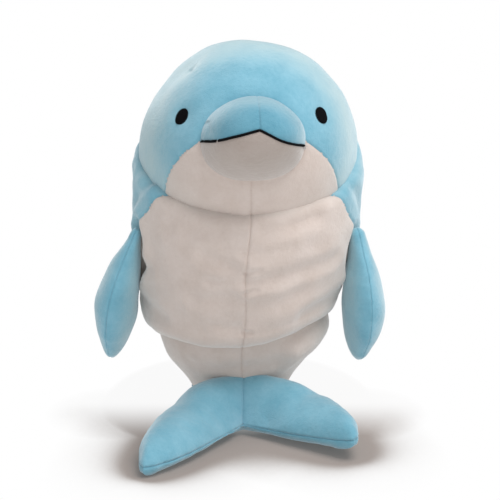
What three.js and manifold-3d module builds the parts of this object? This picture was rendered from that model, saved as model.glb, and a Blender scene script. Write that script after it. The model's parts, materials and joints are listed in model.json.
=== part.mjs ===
// A plush dolphin that sits upright: a round head sunk in the collar of a plump trunk, a snout,
// two flippers, a back fin and a tail that lies forward on the floor. Every form is a bag of
// plush panels, sewn edge to edge, round a core of stuffing.
// Millimetres. It faces -Y, +X is its own left, and +Z is up.
// The origin is the middle of its box, on the floor.
import * as THREE from "three";
import { mergeVertices } from "three/addons/utils/BufferGeometryUtils.js";
import Module from "manifold-3d";

const wasm = await Module();
wasm.setup();

// Fabric and fits
const FABRIC = 2.6; // plush fabric with its pile
const SEAM_GAP = 0.3; // between pieces that touch
const PIVOT_PLAY = 0.5; // a limb's round root turns against the trunk with this clearance

// Trunk: a flat seat, the stock from which the tail comes out, the hip, a fold at the waist, and
// the belly up to the collar. A front or a back is a distance from the trunk's axis.
const SEAT_WIDTH = 78; // the flat seat
const SEAT_FRONT = 38;
const SEAT_BACK = 58;
const STOCK_HEIGHT = 31;
const STOCK_WIDTH = 106;
const STOCK_FRONT = 42;
const STOCK_BACK = 78;
const HIP_HEIGHT = 56;
const HIP_WIDTH = 154;
const HIP_FRONT = 59;
const HIP_BACK = 92;
const WAIST_HEIGHT = 86; // height of the fold
const WAIST_WIDTH = 166;
const WAIST_FRONT = 68;
const WAIST_BACK = 99;
const LIP_HEIGHT = 28; // the belly swells out over this height above the fold
const BELLY_WIDTH = 194;
const BELLY_FRONT = 90;
const BELLY_BACK = 108;
const SHOULDER_HEIGHT = 205;
const SHOULDER_WIDTH = 227;
const SHOULDER_FRONT = 110;
const SHOULDER_BACK = 117;
const BELLY_SWELL = 0.6; // at half height it has grown by this share towards the shoulder,
const BACK_SWELL = 0.4; // and its back by this one
const TRUNK_LEAN = 20; // how far the head's centre lies behind the seat's
const TRUNK_ASIDE = 9; // how far the belly's foot has slumped to the right of the head
const COLLAR_TILT = 22; // degrees that the collar falls towards the front
const COLLAR_DROP = 5; // how far the collar's middle lies below the head's centre
const COLLAR_STAND = 7; // how far its rounded lip stands out from the head
const COLLAR_ROUND = 9; // height of that lip
const COLLAR_NAPE = 9; // how much further its back stands out, because the head leans forward
const COLLAR_TURN_IN = 0.86; // its hem is tucked in to this share of the way to the head's centre
const SIDE_SEAM_TOP = 86; // the side seam lies this far in front of the head's centre at its top,
const SIDE_SEAM_SHOULDER = 69; // and this far halfway down to the flippers
const SIDE_SEAM_FOOT = 11; // and in front of the seat's centre at the floor
const NECK_OPENING = 100; // hole in the skins of head and trunk, where their stuffing meets

// Head: a ball that faces up a little, with the snout and the sewn features on it
const HEAD_WIDTH = 216;
const HEAD_HEIGHT = 266; // height of the head's centre
const FACE_TILT = 16; // degrees that the face looks up
const FACE_TURN = 2.5; // degrees that it looks to its left
const NAPE_SEAM = 30; // the seam over the head lies this far behind its centre
const THROAT_WIDTH = 168;
const THROAT_HEIGHT = 118;
const THROAT_DROP = 50; // centre of the throat patch below the head's centre
const SNOUT_WIDTH = 98;
const SNOUT_HEIGHT = 80;
const SNOUT_REACH = 44; // how far the snout stands out of the head
const SNOUT_FULLNESS = 2.3; // 2 is an ellipsoid, more is fuller
const SNOUT_NARROWING = 0.35; // its top is narrower than its middle by this share
const SNOUT_FLAT = 0.16; // its nose ends flat, this many radians short of the point
const SNOUT_BED = 8; // the snout is widest this far under the head's surface
const MOUTH_PEAK = 5; // height of the mouth line at its middle and at its ends,
const MOUTH_END = -3; // above the head's centre
const MOUTH_OVERRUN = 2; // the line runs on this far beyond each side of the snout
const MOUTH_THREAD = 3; // width of the embroidered mouth line
const EYE_SPREAD = 132; // between the eyes
const EYE_RISE = 23; // eyes above the head's centre
const EYE_WIDTH = 10;
const EYE_LENGTH = 16.5;
const EYE_LEAN = 24; // degrees, the tops lean inwards
const EMBROIDERY = 1.4; // thickness of the embroidered eyes

// Flippers: fat leaf shapes that hang from a narrow root in the side seam
const FLIPPER_LENGTH = 142;
const FLIPPER_CHORD = 66;
const FLIPPER_THICKNESS = 41;
const FLIPPER_ROOT = 11; // thickness of the round root
const FLIPPER_FULL = 0.58; // it is widest at this share of its length
const FLIPPER_TIP = 0.985; // and ends flat at this one
const FLIPPER_SWELL = 1.4; // power of its widening from the root
const FLIPPER_POINT = 0.65; // power of its rounding towards the tip, where 0.5 is an oval's
const FLIPPER_SHARPNESS = 1.35; // 1 is an oval section, more is a lens that is sharper at its seams
const FLIPPER_CURVE = 8; // how far the tip bends back
const FLIPPER_BOW = 5; // how far the middle bows outwards
const FLIPPER_HEIGHT = 206; // height of the root
const FLIPPER_FORWARD = 44; // the root lies this far in front of the trunk's axis
const FLIPPER_SPLAY = 5; // degrees out from straight down
const FLIPPER_SLUMP = 4; // degrees that both have swung to the right, as the trunk has
const FLIPPER_TURN = 12; // degrees that the leading edge is turned outwards

// Back fin: swept down towards the tail
const FIN_BASE = 84;
const FIN_REACH = 46;
const FIN_TIP = 7; // half the width of its round tip
const FIN_SWEEP = 34;
const FIN_THICKNESS = 22;
const FIN_EDGE = 7; // thickness of its tip
const FIN_ROOT = 10; // thickness of its round root
const FIN_FULL = 0.3; // it is thickest at this share of its reach
const FIN_HEIGHT = 158; // height of the middle of its base

// Tail: two broad lobes that spread from the stock's front, just under the hip
const TAIL_CREASE = 49; // height of the crease where the tail's top meets the hip
const TAIL_SUNK = 29; // the seam of its root lies this far behind the crease, inside the trunk
const FLUKE_NOTCH = 32; // from the crease forward to the notch between the lobes
const FLUKE_ASIDE = 4; // how far they lie to the left of the trunk's foot
const FLUKE_TIP = 45; // length of a lobe's rounded tip
const FLUKE_SEAM = 11; // height of the edge seam above the floor
const FLUKE_CROWN = 26; // height of the lobes' tops above the edge seam
const FLUKE_LIFT = 12; // the tip of the left lobe is curled up from the floor by this
// The lobes' edges from above, seen from the crease: the leading and the trailing edge of each, from
// the root to the tip. The right lobe reaches forward and the left one out to the side.
const LOBES = {
  right: {
    lead: [[-57, 6], [-76, -13], [-88, -46], [-96, -88], [-97, -128]],
    trail: [[-20, -61], [-38, -87], [-58, -112], [-77, -130], [-89, -139]],
  },
  left: {
    lead: [[60, 8], [84, -6], [98, -32], [107, -64], [110, -90]],
    trail: [[22, -44], [42, -58], [63, -72], [83, -86], [101, -100]],
  },
};

// Facets
const TRUNK_SIDES = 22;
const BALL_SIDES = 22;
const BALL_BELTS = 11;
const LIMB_SIDES = 10;

const rad = THREE.MathUtils.degToRad;
const mix = THREE.MathUtils.lerp;
const smooth = (t) => THREE.MathUtils.smoothstep(t, 0, 1);
const HEAD_RADIUS = HEAD_WIDTH / 2;
const HEAD_CENTRE = new THREE.Vector3(0, TRUNK_LEAN, HEAD_HEIGHT);
const FAR = 2 * (HEAD_HEIGHT + HEAD_WIDTH); // beyond every piece

const blue = new THREE.MeshStandardMaterial({ color: 0x8cc8dd, roughness: 0.95 });
const cream = new THREE.MeshStandardMaterial({ color: 0xe4d8cf, roughness: 0.95 });
const thread = new THREE.MeshStandardMaterial({ color: 0x111113, roughness: 0.6 });
const wadding = new THREE.MeshStandardMaterial({ color: 0xf4f2ee, roughness: 1 });

// A closed three.js geometry as a solid that can be joined and cut, facing outwards.
function solidOf(geometry) {
  const bare = geometry.clone();
  bare.deleteAttribute("normal");
  bare.deleteAttribute("uv");
  const merged = mergeVertices(bare, 1e-3);
  const vertProperties = new Float32Array(merged.attributes.position.array);
  const triVerts = new Uint32Array(merged.index.array);
  const made = new wasm.Manifold(new wasm.Mesh({ numProp: 3, vertProperties, triVerts }));
  if (made.volume() > 0) return made;
  triVerts.reverse();
  return new wasm.Manifold(new wasm.Mesh({ numProp: 3, vertProperties, triVerts }));
}

// A named mesh from a solid.
function piece(name, solid, material) {
  const { vertProperties, triVerts } = solid.getMesh();
  const geometry = new THREE.BufferGeometry();
  geometry.setAttribute("position", new THREE.BufferAttribute(vertProperties, 3));
  geometry.setIndex(new THREE.BufferAttribute(triVerts, 1));
  geometry.computeVertexNormals();
  const mesh = new THREE.Mesh(geometry, material);
  mesh.name = name;
  return mesh;
}

// A closed surface through rings of points, with a fan at each end. Each point is moved inwards
// by inset along the surface's normal, or outwards where inset is negative.
function loft(rings, inset = 0) {
  const sides = rings[0].length;
  const middle = (ring) => ring.reduce((sum, p) => sum.add(p), new THREE.Vector3()).divideScalar(sides);
  const points = [...rings.flat(), middle(rings[0]), middle(rings.at(-1))];
  const [first, last] = [points.length - 2, points.length - 1];
  const index = [];
  for (let side = 0; side < sides; side++) {
    const next = (side + 1) % sides;
    index.push(first, next, side);
    for (let ring = 0; ring < rings.length - 1; ring++) {
      const [a, b] = [ring * sides + side, ring * sides + next];
      index.push(a, b, a + sides, b, b + sides, a + sides);
    }
    const end = (rings.length - 1) * sides;
    index.push(last, end + side, end + next);
  }
  const geometry = new THREE.BufferGeometry().setFromPoints(points);
  geometry.setIndex(index);
  geometry.computeVertexNormals();
  const [at, normal] = [geometry.attributes.position, geometry.attributes.normal];
  const outwards = Math.sign(signedVolume(points, index));
  for (let i = 0; i < at.count; i++) {
    const move = new THREE.Vector3().fromBufferAttribute(normal, i).multiplyScalar(-inset * outwards);
    at.setXYZ(i, at.getX(i) + move.x, at.getY(i) + move.y, at.getZ(i) + move.z);
  }
  return solidOf(geometry);
}

function signedVolume(points, index) {
  let sum = 0;
  for (let i = 0; i < index.length; i += 3) {
    const [a, b, c] = [points[index[i]], points[index[i + 1]], points[index[i + 2]]];
    sum += a.dot(new THREE.Vector3().crossVectors(b, c)) / 6;
  }
  return sum;
}

// An outline extruded both ways from its plane, and turned so that it lies in two named axes.
function prism(outline, depth, plane) {
  const geometry = new THREE.ExtrudeGeometry(new THREE.Shape(outline), { depth, bevelEnabled: false });
  geometry.translate(0, 0, -depth / 2);
  const [x, y, z] = [new THREE.Vector3(1, 0, 0), new THREE.Vector3(0, 1, 0), new THREE.Vector3(0, 0, 1)];
  const turn = new THREE.Matrix4();
  if (plane === "yz") turn.makeBasis(y, z, x);
  if (plane === "xz") turn.makeBasis(x, z, y.negate());
  return solidOf(geometry.applyMatrix4(turn));
}

// A box between two corners.
function block(low, high) {
  const size = new THREE.Vector3().subVectors(high, low);
  const geometry = new THREE.BoxGeometry(size.x, size.y, size.z);
  return solidOf(geometry.translate(low.x + size.x / 2, low.y + size.y / 2, low.z + size.z / 2));
}

// Everything on one side of a plane square to an axis: sign 1 keeps what lies beyond at.
function beyond(axis, at, sign) {
  const [low, high] = [new THREE.Vector3(-FAR, -FAR, -FAR), new THREE.Vector3(FAR, FAR, FAR)];
  (sign > 0 ? low : high)[axis] = at;
  return block(low, high);
}

// The two halves of a skin that is sewn down its middle, first the -X half and then the +X half.
function leftAndRight(skin, halfSpace = (side) => beyond("x", (side * SEAM_GAP) / 2, side)) {
  return [-1, 1].map((side) => skin.intersect(halfSpace(side)));
}

// The largest body of a solid, without the crumbs that a cut can leave.
function largest(solid) {
  return solid.decompose().reduce((a, b) => (b.volume() > a.volume() ? b : a));
}

// A solid of another frame, brought into the frame of a group.
function broughtInto(group, solid) {
  group.updateMatrixWorld(true);
  return solid.transform(group.matrixWorld.clone().invert().elements);
}

// A solid ball in a sphere. Its poles lie on X, the axis that the head nods about.
function ball(radius) {
  return solidOf(new THREE.SphereGeometry(radius, BALL_SIDES, BALL_BELTS).rotateZ(Math.PI / 2));
}

// A ball round a sphere, for the dish of the collar: its corners lie over the middles of the
// facets of the other balls, so that the head's corners pass close under its own facets.
function dishBall(radius) {
  const belts = BALL_BELTS - 1;
  const over = radius / Math.cos(Math.PI / BALL_SIDES) / Math.cos(Math.PI / 2 / belts);
  const geometry = new THREE.SphereGeometry(over, BALL_SIDES, belts).rotateZ(Math.PI / 2);
  geometry.rotateX(-rad(FACE_TILT) + Math.PI / BALL_SIDES);
  return solidOf(geometry.translate(...HEAD_CENTRE.toArray()));
}

// The collar's height on the trunk's axis, and the radius at which the head passes through it.
const COLLAR_HEIGHT = HEAD_HEIGHT - COLLAR_DROP;
const COLLAR_RADIUS = Math.sqrt(HEAD_RADIUS ** 2 - (COLLAR_DROP * Math.cos(rad(COLLAR_TILT))) ** 2);
const COLLAR_DEPTH = COLLAR_RADIUS * Math.cos(rad(COLLAR_TILT)) + COLLAR_STAND;

// A smooth curve through stations of [height, half width, front, back].
function throughStations(stations) {
  const heights = stations.map((station) => station[0]);
  const sizes = stations.flatMap((station) => station.slice(1));
  const curve = new THREE.CubicInterpolant(heights, sizes, 3);
  return (height) => Array.from(curve.evaluate(height));
}

const hipAt = throughStations([
  [0, SEAT_WIDTH / 2, SEAT_FRONT, SEAT_BACK],
  [STOCK_HEIGHT, STOCK_WIDTH / 2, STOCK_FRONT, STOCK_BACK],
  [HIP_HEIGHT, HIP_WIDTH / 2, HIP_FRONT, HIP_BACK],
  [WAIST_HEIGHT, WAIST_WIDTH / 2, WAIST_FRONT, WAIST_BACK],
]);

const bellyAt = throughStations([
  [WAIST_HEIGHT, BELLY_WIDTH / 2, BELLY_FRONT, BELLY_BACK],
  [mix(WAIST_HEIGHT, SHOULDER_HEIGHT, 0.5), mix(BELLY_WIDTH, SHOULDER_WIDTH, BELLY_SWELL) / 2,
    mix(BELLY_FRONT, SHOULDER_FRONT, BELLY_SWELL), mix(BELLY_BACK, SHOULDER_BACK, BACK_SWELL)],
  [SHOULDER_HEIGHT, SHOULDER_WIDTH / 2, SHOULDER_FRONT, SHOULDER_BACK],
  [COLLAR_HEIGHT - COLLAR_ROUND, COLLAR_RADIUS + COLLAR_STAND, COLLAR_DEPTH, COLLAR_DEPTH + COLLAR_NAPE],
]);

// The trunk at a height on its axis: the axis point, the half width, the reach to the front and
// to the back, and the tilt. Up to the waist it is the hip, and above it the belly, whose lower
// lip hangs over the fold and whose upper lip rounds in to the head.
function trunkSection(height) {
  const up = THREE.MathUtils.clamp((height - WAIST_HEIGHT) / (COLLAR_HEIGHT - WAIST_HEIGHT), 0, 1);
  const axis = new THREE.Vector3(-TRUNK_ASIDE * (1 - up), TRUNK_LEAN * (height / HEAD_HEIGHT), height);
  const tilt = rad(COLLAR_TILT) * up ** 1.5;
  const swell = Math.sqrt(1 - (1 - Math.min((height - WAIST_HEIGHT) / LIP_HEIGHT, 1)) ** 2);
  const round = THREE.MathUtils.clamp(1 + (height - COLLAR_HEIGHT) / COLLAR_ROUND, 0, 1);
  const drawnIn = COLLAR_STAND * (1 - Math.sqrt(1 - round ** 2));
  const hip = hipAt(Math.min(height, WAIST_HEIGHT));
  const [side, front, back] =
    height <= WAIST_HEIGHT ? hip : bellyAt(height).map((size, i) => mix(hip[i], size, swell) - drawnIn);
  return { axis, tilt, side, front, back };
}

// A point of the trunk's surface: angle 0 is its front, 90 its +X side and 180 its back.
function trunkPoint(height, angle) {
  const { axis, tilt, side, front, back } = trunkSection(height);
  const forward = Math.cos(rad(angle));
  const y = -forward * (forward > 0 ? front : back);
  return new THREE.Vector3(axis.x + side * Math.sin(rad(angle)), axis.y + y, height + y * Math.tan(tilt));
}

// The heights of the trunk's rings: close together where its outline turns.
function trunkHeights() {
  const stock = [0, 0.5, 1].map((t) => t * STOCK_HEIGHT);
  const hip = [mix(STOCK_HEIGHT, HIP_HEIGHT, 0.5), HIP_HEIGHT, WAIST_HEIGHT];
  const lip = [0.07, 0.4, 1].map((t) => WAIST_HEIGHT + t * LIP_HEIGHT);
  const belly = [1, 2, 3].map((i) => mix(WAIST_HEIGHT + LIP_HEIGHT, COLLAR_HEIGHT - COLLAR_ROUND, i / 3));
  const collar = [0.6, 1].map((t) => COLLAR_HEIGHT - COLLAR_ROUND * (1 - t));
  return [...stock, ...hip, ...lip, ...belly, ...collar];
}

function trunkForm(inset) {
  const ringAt = (point) =>
    Array.from({ length: TRUNK_SIDES }, (_, i) => point((360 * (i + 0.5)) / TRUNK_SIDES));
  const rings = trunkHeights().map((height) => ringAt((angle) => trunkPoint(height, angle)));
  const inner = ringAt((angle) => {
    const at = trunkPoint(COLLAR_HEIGHT, angle).sub(HEAD_CENTRE).multiplyScalar(COLLAR_TURN_IN);
    return at.add(HEAD_CENTRE);
  });
  return loft([...rings, inner], inset);
}

// The hole through which the stuffing of the head meets the trunk's, square to the collar.
function neckPlug() {
  const depth = HEAD_RADIUS + 4 * FABRIC;
  const geometry = new THREE.CylinderGeometry(NECK_OPENING / 2, NECK_OPENING / 2, depth, LIMB_SIDES);
  geometry.rotateX(Math.PI / 2).translate(0, 0, -depth / 2);
  geometry.rotateX(rad(COLLAR_TILT));
  return solidOf(geometry.translate(...HEAD_CENTRE.toArray()));
}

// What lies in front of the side seams of the trunk, in which the flippers are sewn. It is the
// seam's outline in the YZ plane, moved by shift.
function bellySide(shift) {
  const seam = new THREE.SplineCurve([
    new THREE.Vector2(TRUNK_LEAN - SIDE_SEAM_TOP, HEAD_HEIGHT),
    new THREE.Vector2(TRUNK_LEAN - SIDE_SEAM_SHOULDER, mix(FLIPPER_HEIGHT, HEAD_HEIGHT, 0.5)),
    new THREE.Vector2(TRUNK_LEAN / 2 - FLIPPER_FORWARD, FLIPPER_HEIGHT),
    new THREE.Vector2(TRUNK_LEAN, mix(WAIST_HEIGHT, FLIPPER_HEIGHT, 0.5)),
    new THREE.Vector2(TRUNK_LEAN, WAIST_HEIGHT),
    new THREE.Vector2(0, STOCK_HEIGHT),
    new THREE.Vector2(-SIDE_SEAM_FOOT, -SEAM_GAP),
  ]).getPoints(12);
  const moved = seam.map((p) => new THREE.Vector2(p.x + shift, p.y));
  const corners = [new THREE.Vector2(moved.at(-1).x, -FAR), new THREE.Vector2(-FAR, -FAR)];
  const top = [new THREE.Vector2(-FAR, FAR), new THREE.Vector2(moved[0].x, FAR)];
  return prism([...moved, ...corners, ...top], FAR, "yz");
}

// What lies on one side of the trunk's leaning middle, beyond half a seam's gap.
function trunkSide(side) {
  const middle = [-FAR, WAIST_HEIGHT, COLLAR_HEIGHT, FAR].map((height) => {
    const x = trunkSection(THREE.MathUtils.clamp(height, 0, COLLAR_HEIGHT)).axis.x;
    return new THREE.Vector2(x + (side * SEAM_GAP) / 2, height);
  });
  const outside = [new THREE.Vector2(side * FAR, FAR), new THREE.Vector2(side * FAR, -FAR)];
  return prism([...middle, ...outside], 2 * FAR, "xz");
}

function trunk() {
  const collar = dishBall(HEAD_RADIUS + SEAM_GAP);
  const lining = dishBall(HEAD_RADIUS + SEAM_GAP + FABRIC);
  const inside = trunkForm(FABRIC).subtract(lining);
  const skin = largest(trunkForm(0).subtract(collar).subtract(inside).subtract(neckPlug()));
  const bellies = leftAndRight(skin.intersect(bellySide(0)), trunkSide);
  const backs = leftAndRight(skin.subtract(bellySide(SEAM_GAP)), trunkSide);
  const stuffing = trunkForm(FABRIC + SEAM_GAP).subtract(dishBall(HEAD_RADIUS + FABRIC + 2 * SEAM_GAP));
  const group = new THREE.Group();
  group.add(
    piece("belly_panel_right", largest(bellies[0]), cream),
    piece("belly_panel_left", largest(bellies[1]), cream),
    piece("back_panel_right", largest(backs[0]), blue),
    piece("back_panel_left", largest(backs[1]), blue),
    piece("trunk_stuffing", largest(stuffing), wadding),
  );
  return group;
}

// The snout: a fuller than round dome, in the head's frame, which looks along -Y.
function snoutPoint(around, out) {
  const power = (value) => Math.sign(value) * Math.abs(value) ** (2 / SNOUT_FULLNESS);
  const reach = HEAD_RADIUS + SNOUT_REACH - snoutBase();
  const rise = power(Math.sin(around)) * power(Math.cos(out));
  const narrowed = 1 - SNOUT_NARROWING * Math.max(rise, 0) ** 2;
  return new THREE.Vector3(
    (SNOUT_WIDTH / 2) * power(Math.cos(around)) * power(Math.cos(out)) * narrowed,
    -snoutBase() - reach * power(Math.sin(out)),
    (SNOUT_HEIGHT / 2) * rise,
  );
}

// How far in front of the head's centre the snout is widest: just under the head's surface.
function snoutBase() {
  return Math.sqrt(HEAD_RADIUS ** 2 - (SNOUT_WIDTH / 2) ** 2) - SNOUT_BED;
}

function snoutForm(inset, sides = 16, steps = 4) {
  const ring = (point) => Array.from({ length: sides }, (_, i) => point((2 * Math.PI * (i + 0.5)) / sides));
  const outs = Array.from({ length: steps }, (_, i) => (Math.PI / 2) * (i / steps));
  const dome = outs.map((out) => ring((around) => snoutPoint(around, out)));
  const root = ring((around) => snoutPoint(around, 0).setY(-snoutBase() + 2 * FABRIC + SNOUT_BED));
  const nose = ring((around) => snoutPoint(around, Math.PI / 2 - SNOUT_FLAT));
  return loft([root, ...dome, nose], inset);
}

// The mouth line seen from the front: it peaks at the nose seam and falls to both corners.
function mouthLine(count) {
  const half = SNOUT_WIDTH / 2 + MOUTH_OVERRUN;
  return Array.from({ length: count + 1 }, (_, i) => {
    const x = mix(-half, half, i / count);
    const fall = 1 - Math.abs(x / half);
    return new THREE.Vector2(x, mix(MOUTH_END, MOUTH_PEAK, fall ** 0.9));
  });
}

// What lies above the mouth line, or a little above it where shift is positive.
function aboveMouth(shift) {
  const line = mouthLine(12).map((p) => new THREE.Vector2(p.x, p.y + shift));
  const ends = [new THREE.Vector2(FAR, line.at(-1).y), new THREE.Vector2(FAR, FAR)];
  const back = [new THREE.Vector2(-FAR, FAR), new THREE.Vector2(-FAR, line[0].y)];
  return prism([...line, ...ends, ...back], 2 * FAR, "xz");
}

// An ellipse in the frontal plane, as a prism through the head.
function frontEllipse(centre, width, height, lean, sides = 20) {
  const curve = new THREE.EllipseCurve(centre.x, centre.y, width / 2, height / 2, 0, 2 * Math.PI, false, lean);
  return prism(curve.getPoints(sides).slice(0, -1), 2 * FAR, "xz");
}

// The embroidered line along the mouth, laid on the snout.
function mouthThread(snoutOutside) {
  const reach = HEAD_RADIUS + SNOUT_REACH - snoutBase();
  const line = mouthLine(12).map((p) => {
    const share = [p.x / (SNOUT_WIDTH / 2), p.y / (SNOUT_HEIGHT / 2)].map((v) => Math.abs(v) ** SNOUT_FULLNESS);
    const depth = Math.max(0, 1 - share[0] - share[1]) ** (1 / SNOUT_FULLNESS);
    return new THREE.Vector3(p.x, -snoutBase() - reach * depth, p.y);
  });
  const section = new THREE.EllipseCurve(0, 0, MOUTH_THREAD / 2, MOUTH_THREAD / 2).getPoints(6).slice(0, -1);
  const options = { steps: 16, extrudePath: new THREE.CatmullRomCurve3(line), bevelEnabled: false };
  const tube = solidOf(new THREE.ExtrudeGeometry(new THREE.Shape(section), options));
  return largest(tube.subtract(snoutOutside).subtract(ball(HEAD_RADIUS + SEAM_GAP)));
}

function head() {
  const group = new THREE.Group();
  group.position.copy(HEAD_CENTRE);
  group.rotation.set(-rad(FACE_TILT), 0, rad(FACE_TURN), "ZXY");
  const snoutHole = snoutForm(-SEAM_GAP);
  const shell = ball(HEAD_RADIUS).subtract(ball(HEAD_RADIUS - FABRIC));
  const skin = shell.subtract(snoutHole).subtract(broughtInto(group, neckPlug()));
  const front = beyond("y", 0, -1);
  const patch = (extra) =>
    frontEllipse(new THREE.Vector2(0, -THROAT_DROP), THROAT_WIDTH + extra, THROAT_HEIGHT + extra, 0).intersect(front);
  const throats = leftAndRight(skin.intersect(patch(0)));
  const blueSkin = skin.subtract(patch(2 * SEAM_GAP));
  const napes = leftAndRight(blueSkin.intersect(beyond("y", NAPE_SEAM + SEAM_GAP, 1)));
  const crown = blueSkin.intersect(beyond("y", NAPE_SEAM, -1));

  const core = ball(HEAD_RADIUS - FABRIC - SEAM_GAP);
  const snoutSkin = snoutForm(0).subtract(snoutForm(FABRIC)).subtract(ball(HEAD_RADIUS - FABRIC));
  const lips = leftAndRight(snoutSkin.intersect(aboveMouth(SEAM_GAP)));
  const chin = snoutSkin.subtract(aboveMouth(0));
  const snoutCore = snoutForm(FABRIC + SEAM_GAP).subtract(ball(HEAD_RADIUS - FABRIC));

  const pad = ball(HEAD_RADIUS + SEAM_GAP + EMBROIDERY).subtract(ball(HEAD_RADIUS + SEAM_GAP)).intersect(front);
  const eye = (side) => {
    const centre = new THREE.Vector2((side * EYE_SPREAD) / 2, EYE_RISE);
    return pad.intersect(frontEllipse(centre, EYE_WIDTH, EYE_LENGTH, side * rad(EYE_LEAN), 12));
  };
  group.add(
    piece("crown_panel", largest(crown), blue),
    piece("nape_panel_right", largest(napes[0]), blue),
    piece("nape_panel_left", largest(napes[1]), blue),
    piece("throat_panel_right", largest(throats[0]), cream),
    piece("throat_panel_left", largest(throats[1]), cream),
    piece("head_stuffing", core, wadding),
    piece("snout_panel_right", largest(lips[0]), blue),
    piece("snout_panel_left", largest(lips[1]), blue),
    piece("chin_panel", largest(chin), cream),
    piece("snout_stuffing", largest(snoutCore), wadding),
    piece("mouth_thread", mouthThread(snoutHole), thread),
    piece("eye_right", largest(eye(-1)), thread),
    piece("eye_left", largest(eye(1)), thread),
  );
  return group;
}

// A flipper's form along -Z: lens sections, sharp at their two seams, that swell from the round
// root and end in a round tip. Every size shrinks by inset. bowSide is -1 or 1.
function flipperForm(inset, bowSide) {
  const steps = 7;
  const length = FLIPPER_LENGTH - 2 * inset;
  const rings = Array.from({ length: steps + 1 }, (_, step) => {
    const share = (FLIPPER_TIP * (1 - Math.cos((Math.PI * step) / steps))) / 2;
    const rise = Math.sin(((Math.PI / 2) * Math.min(share, FLIPPER_FULL)) / FLIPPER_FULL) ** FLIPPER_SWELL;
    const fall = (1 - Math.max(0, (share - FLIPPER_FULL) / (1 - FLIPPER_FULL)) ** 2) ** FLIPPER_POINT;
    const size = (full) => (share < FLIPPER_FULL ? mix(FLIPPER_ROOT, full, rise) : full * fall) / 2 - inset;
    const [wide, thick] = [size(FLIPPER_CHORD), size(FLIPPER_THICKNESS)];
    const sharpness = mix(1, FLIPPER_SHARPNESS, Math.min(3 * share, 1));
    return Array.from({ length: LIMB_SIDES }, (_, side) => {
      const around = (2 * Math.PI * side) / LIMB_SIDES;
      const lens = Math.sign(Math.sin(around)) * Math.abs(Math.sin(around)) ** sharpness;
      const y = wide * Math.cos(around) + FLIPPER_CURVE * share ** 2;
      const x = thick * lens + bowSide * FLIPPER_BOW * Math.sin(Math.PI * share);
      return new THREE.Vector3(x, y, -inset - length * share);
    });
  });
  return loft(rings);
}

// What lies on one side of a flipper's bowed middle, beyond half a seam's gap.
function beyondBow(bowSide, side) {
  const steps = 8;
  const middle = Array.from({ length: steps + 1 }, (_, step) => {
    const x = bowSide * FLIPPER_BOW * Math.sin((Math.PI * step) / steps) + (side * SEAM_GAP) / 2;
    return new THREE.Vector2(x, -FLIPPER_LENGTH * (step / steps));
  });
  const ends = [new THREE.Vector2(middle.at(-1).x, -FAR), new THREE.Vector2(side * FAR, -FAR)];
  const starts = [new THREE.Vector2(side * FAR, FAR), new THREE.Vector2(middle[0].x, FAR)];
  return prism([...middle, ...ends, ...starts], 2 * FAR, "xz");
}

// One flipper, hung from its root in the side seam. side is -1 for -X and 1 for +X.
function flipper(side) {
  const group = new THREE.Group();
  const seat = trunkSection(FLIPPER_HEIGHT);
  const angle = THREE.MathUtils.radToDeg(Math.acos(FLIPPER_FORWARD / seat.front));
  const at = trunkPoint(FLIPPER_HEIGHT, side * angle);
  group.position.set(at.x + side * (FLIPPER_ROOT / 2 + PIVOT_PLAY), at.y, at.z);
  group.rotation.set(0, rad(FLIPPER_SLUMP - side * FLIPPER_SPLAY), side * rad(FLIPPER_TURN), "YXZ");
  const trunkClear = broughtInto(group, trunkForm(-SEAM_GAP));
  const skin = flipperForm(0, side).subtract(flipperForm(FABRIC, side)).subtract(trunkClear);
  const outer = skin.intersect(beyondBow(side, side));
  const inner = skin.intersect(beyondBow(side, -side));
  const core = flipperForm(FABRIC + SEAM_GAP, side).subtract(broughtInto(group, trunkForm(-FABRIC)));
  const name = side < 0 ? "right" : "left";
  group.add(
    piece(`flipper_${name}_outer_panel`, largest(outer), blue),
    piece(`flipper_${name}_inner_panel`, largest(inner), blue),
    piece(`flipper_${name}_stuffing`, largest(core), wadding),
  );
  return group;
}

// The back fin in its own frame: its base lies along Z, and it stands out along +Y. It swells
// from a round root and tapers to its tip. Every size shrinks by inset.
function finForm(inset) {
  const root = FIN_ROOT / 2 - inset;
  const reach = FIN_REACH - 1.5 * inset;
  const section = (y, thick) => {
    const share = Math.max(y / reach, 0);
    const half = mix(FIN_BASE / 2, FIN_TIP, share ** 1.4) - 1.5 * inset;
    return Array.from({ length: LIMB_SIDES }, (_, side) => {
      const around = (2 * Math.PI * side) / LIMB_SIDES;
      const lens = Math.sign(Math.sin(around)) * Math.abs(Math.sin(around)) ** 1.2;
      return new THREE.Vector3(thick * lens, y, half * Math.cos(around) - FIN_SWEEP * share ** 1.3);
    });
  };
  const heel = [20, 55].map((angle) => section(-root * Math.cos(rad(angle)), root * Math.sin(rad(angle))));
  const blade = [0, 0.15, 0.3, 0.5, 0.75, 1].map((share) => {
    const rise = Math.sin(((Math.PI / 2) * share) / FIN_FULL);
    const fall = 1 - Math.max(0, (share - FIN_FULL) / (1 - FIN_FULL)) ** 1.6 * (1 - FIN_EDGE / FIN_THICKNESS);
    const thick = share < FIN_FULL ? mix(FIN_ROOT, FIN_THICKNESS, rise) : FIN_THICKNESS * fall;
    return section(share * reach, thick / 2 - inset);
  });
  return loft([...heel, ...blade]);
}

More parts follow.
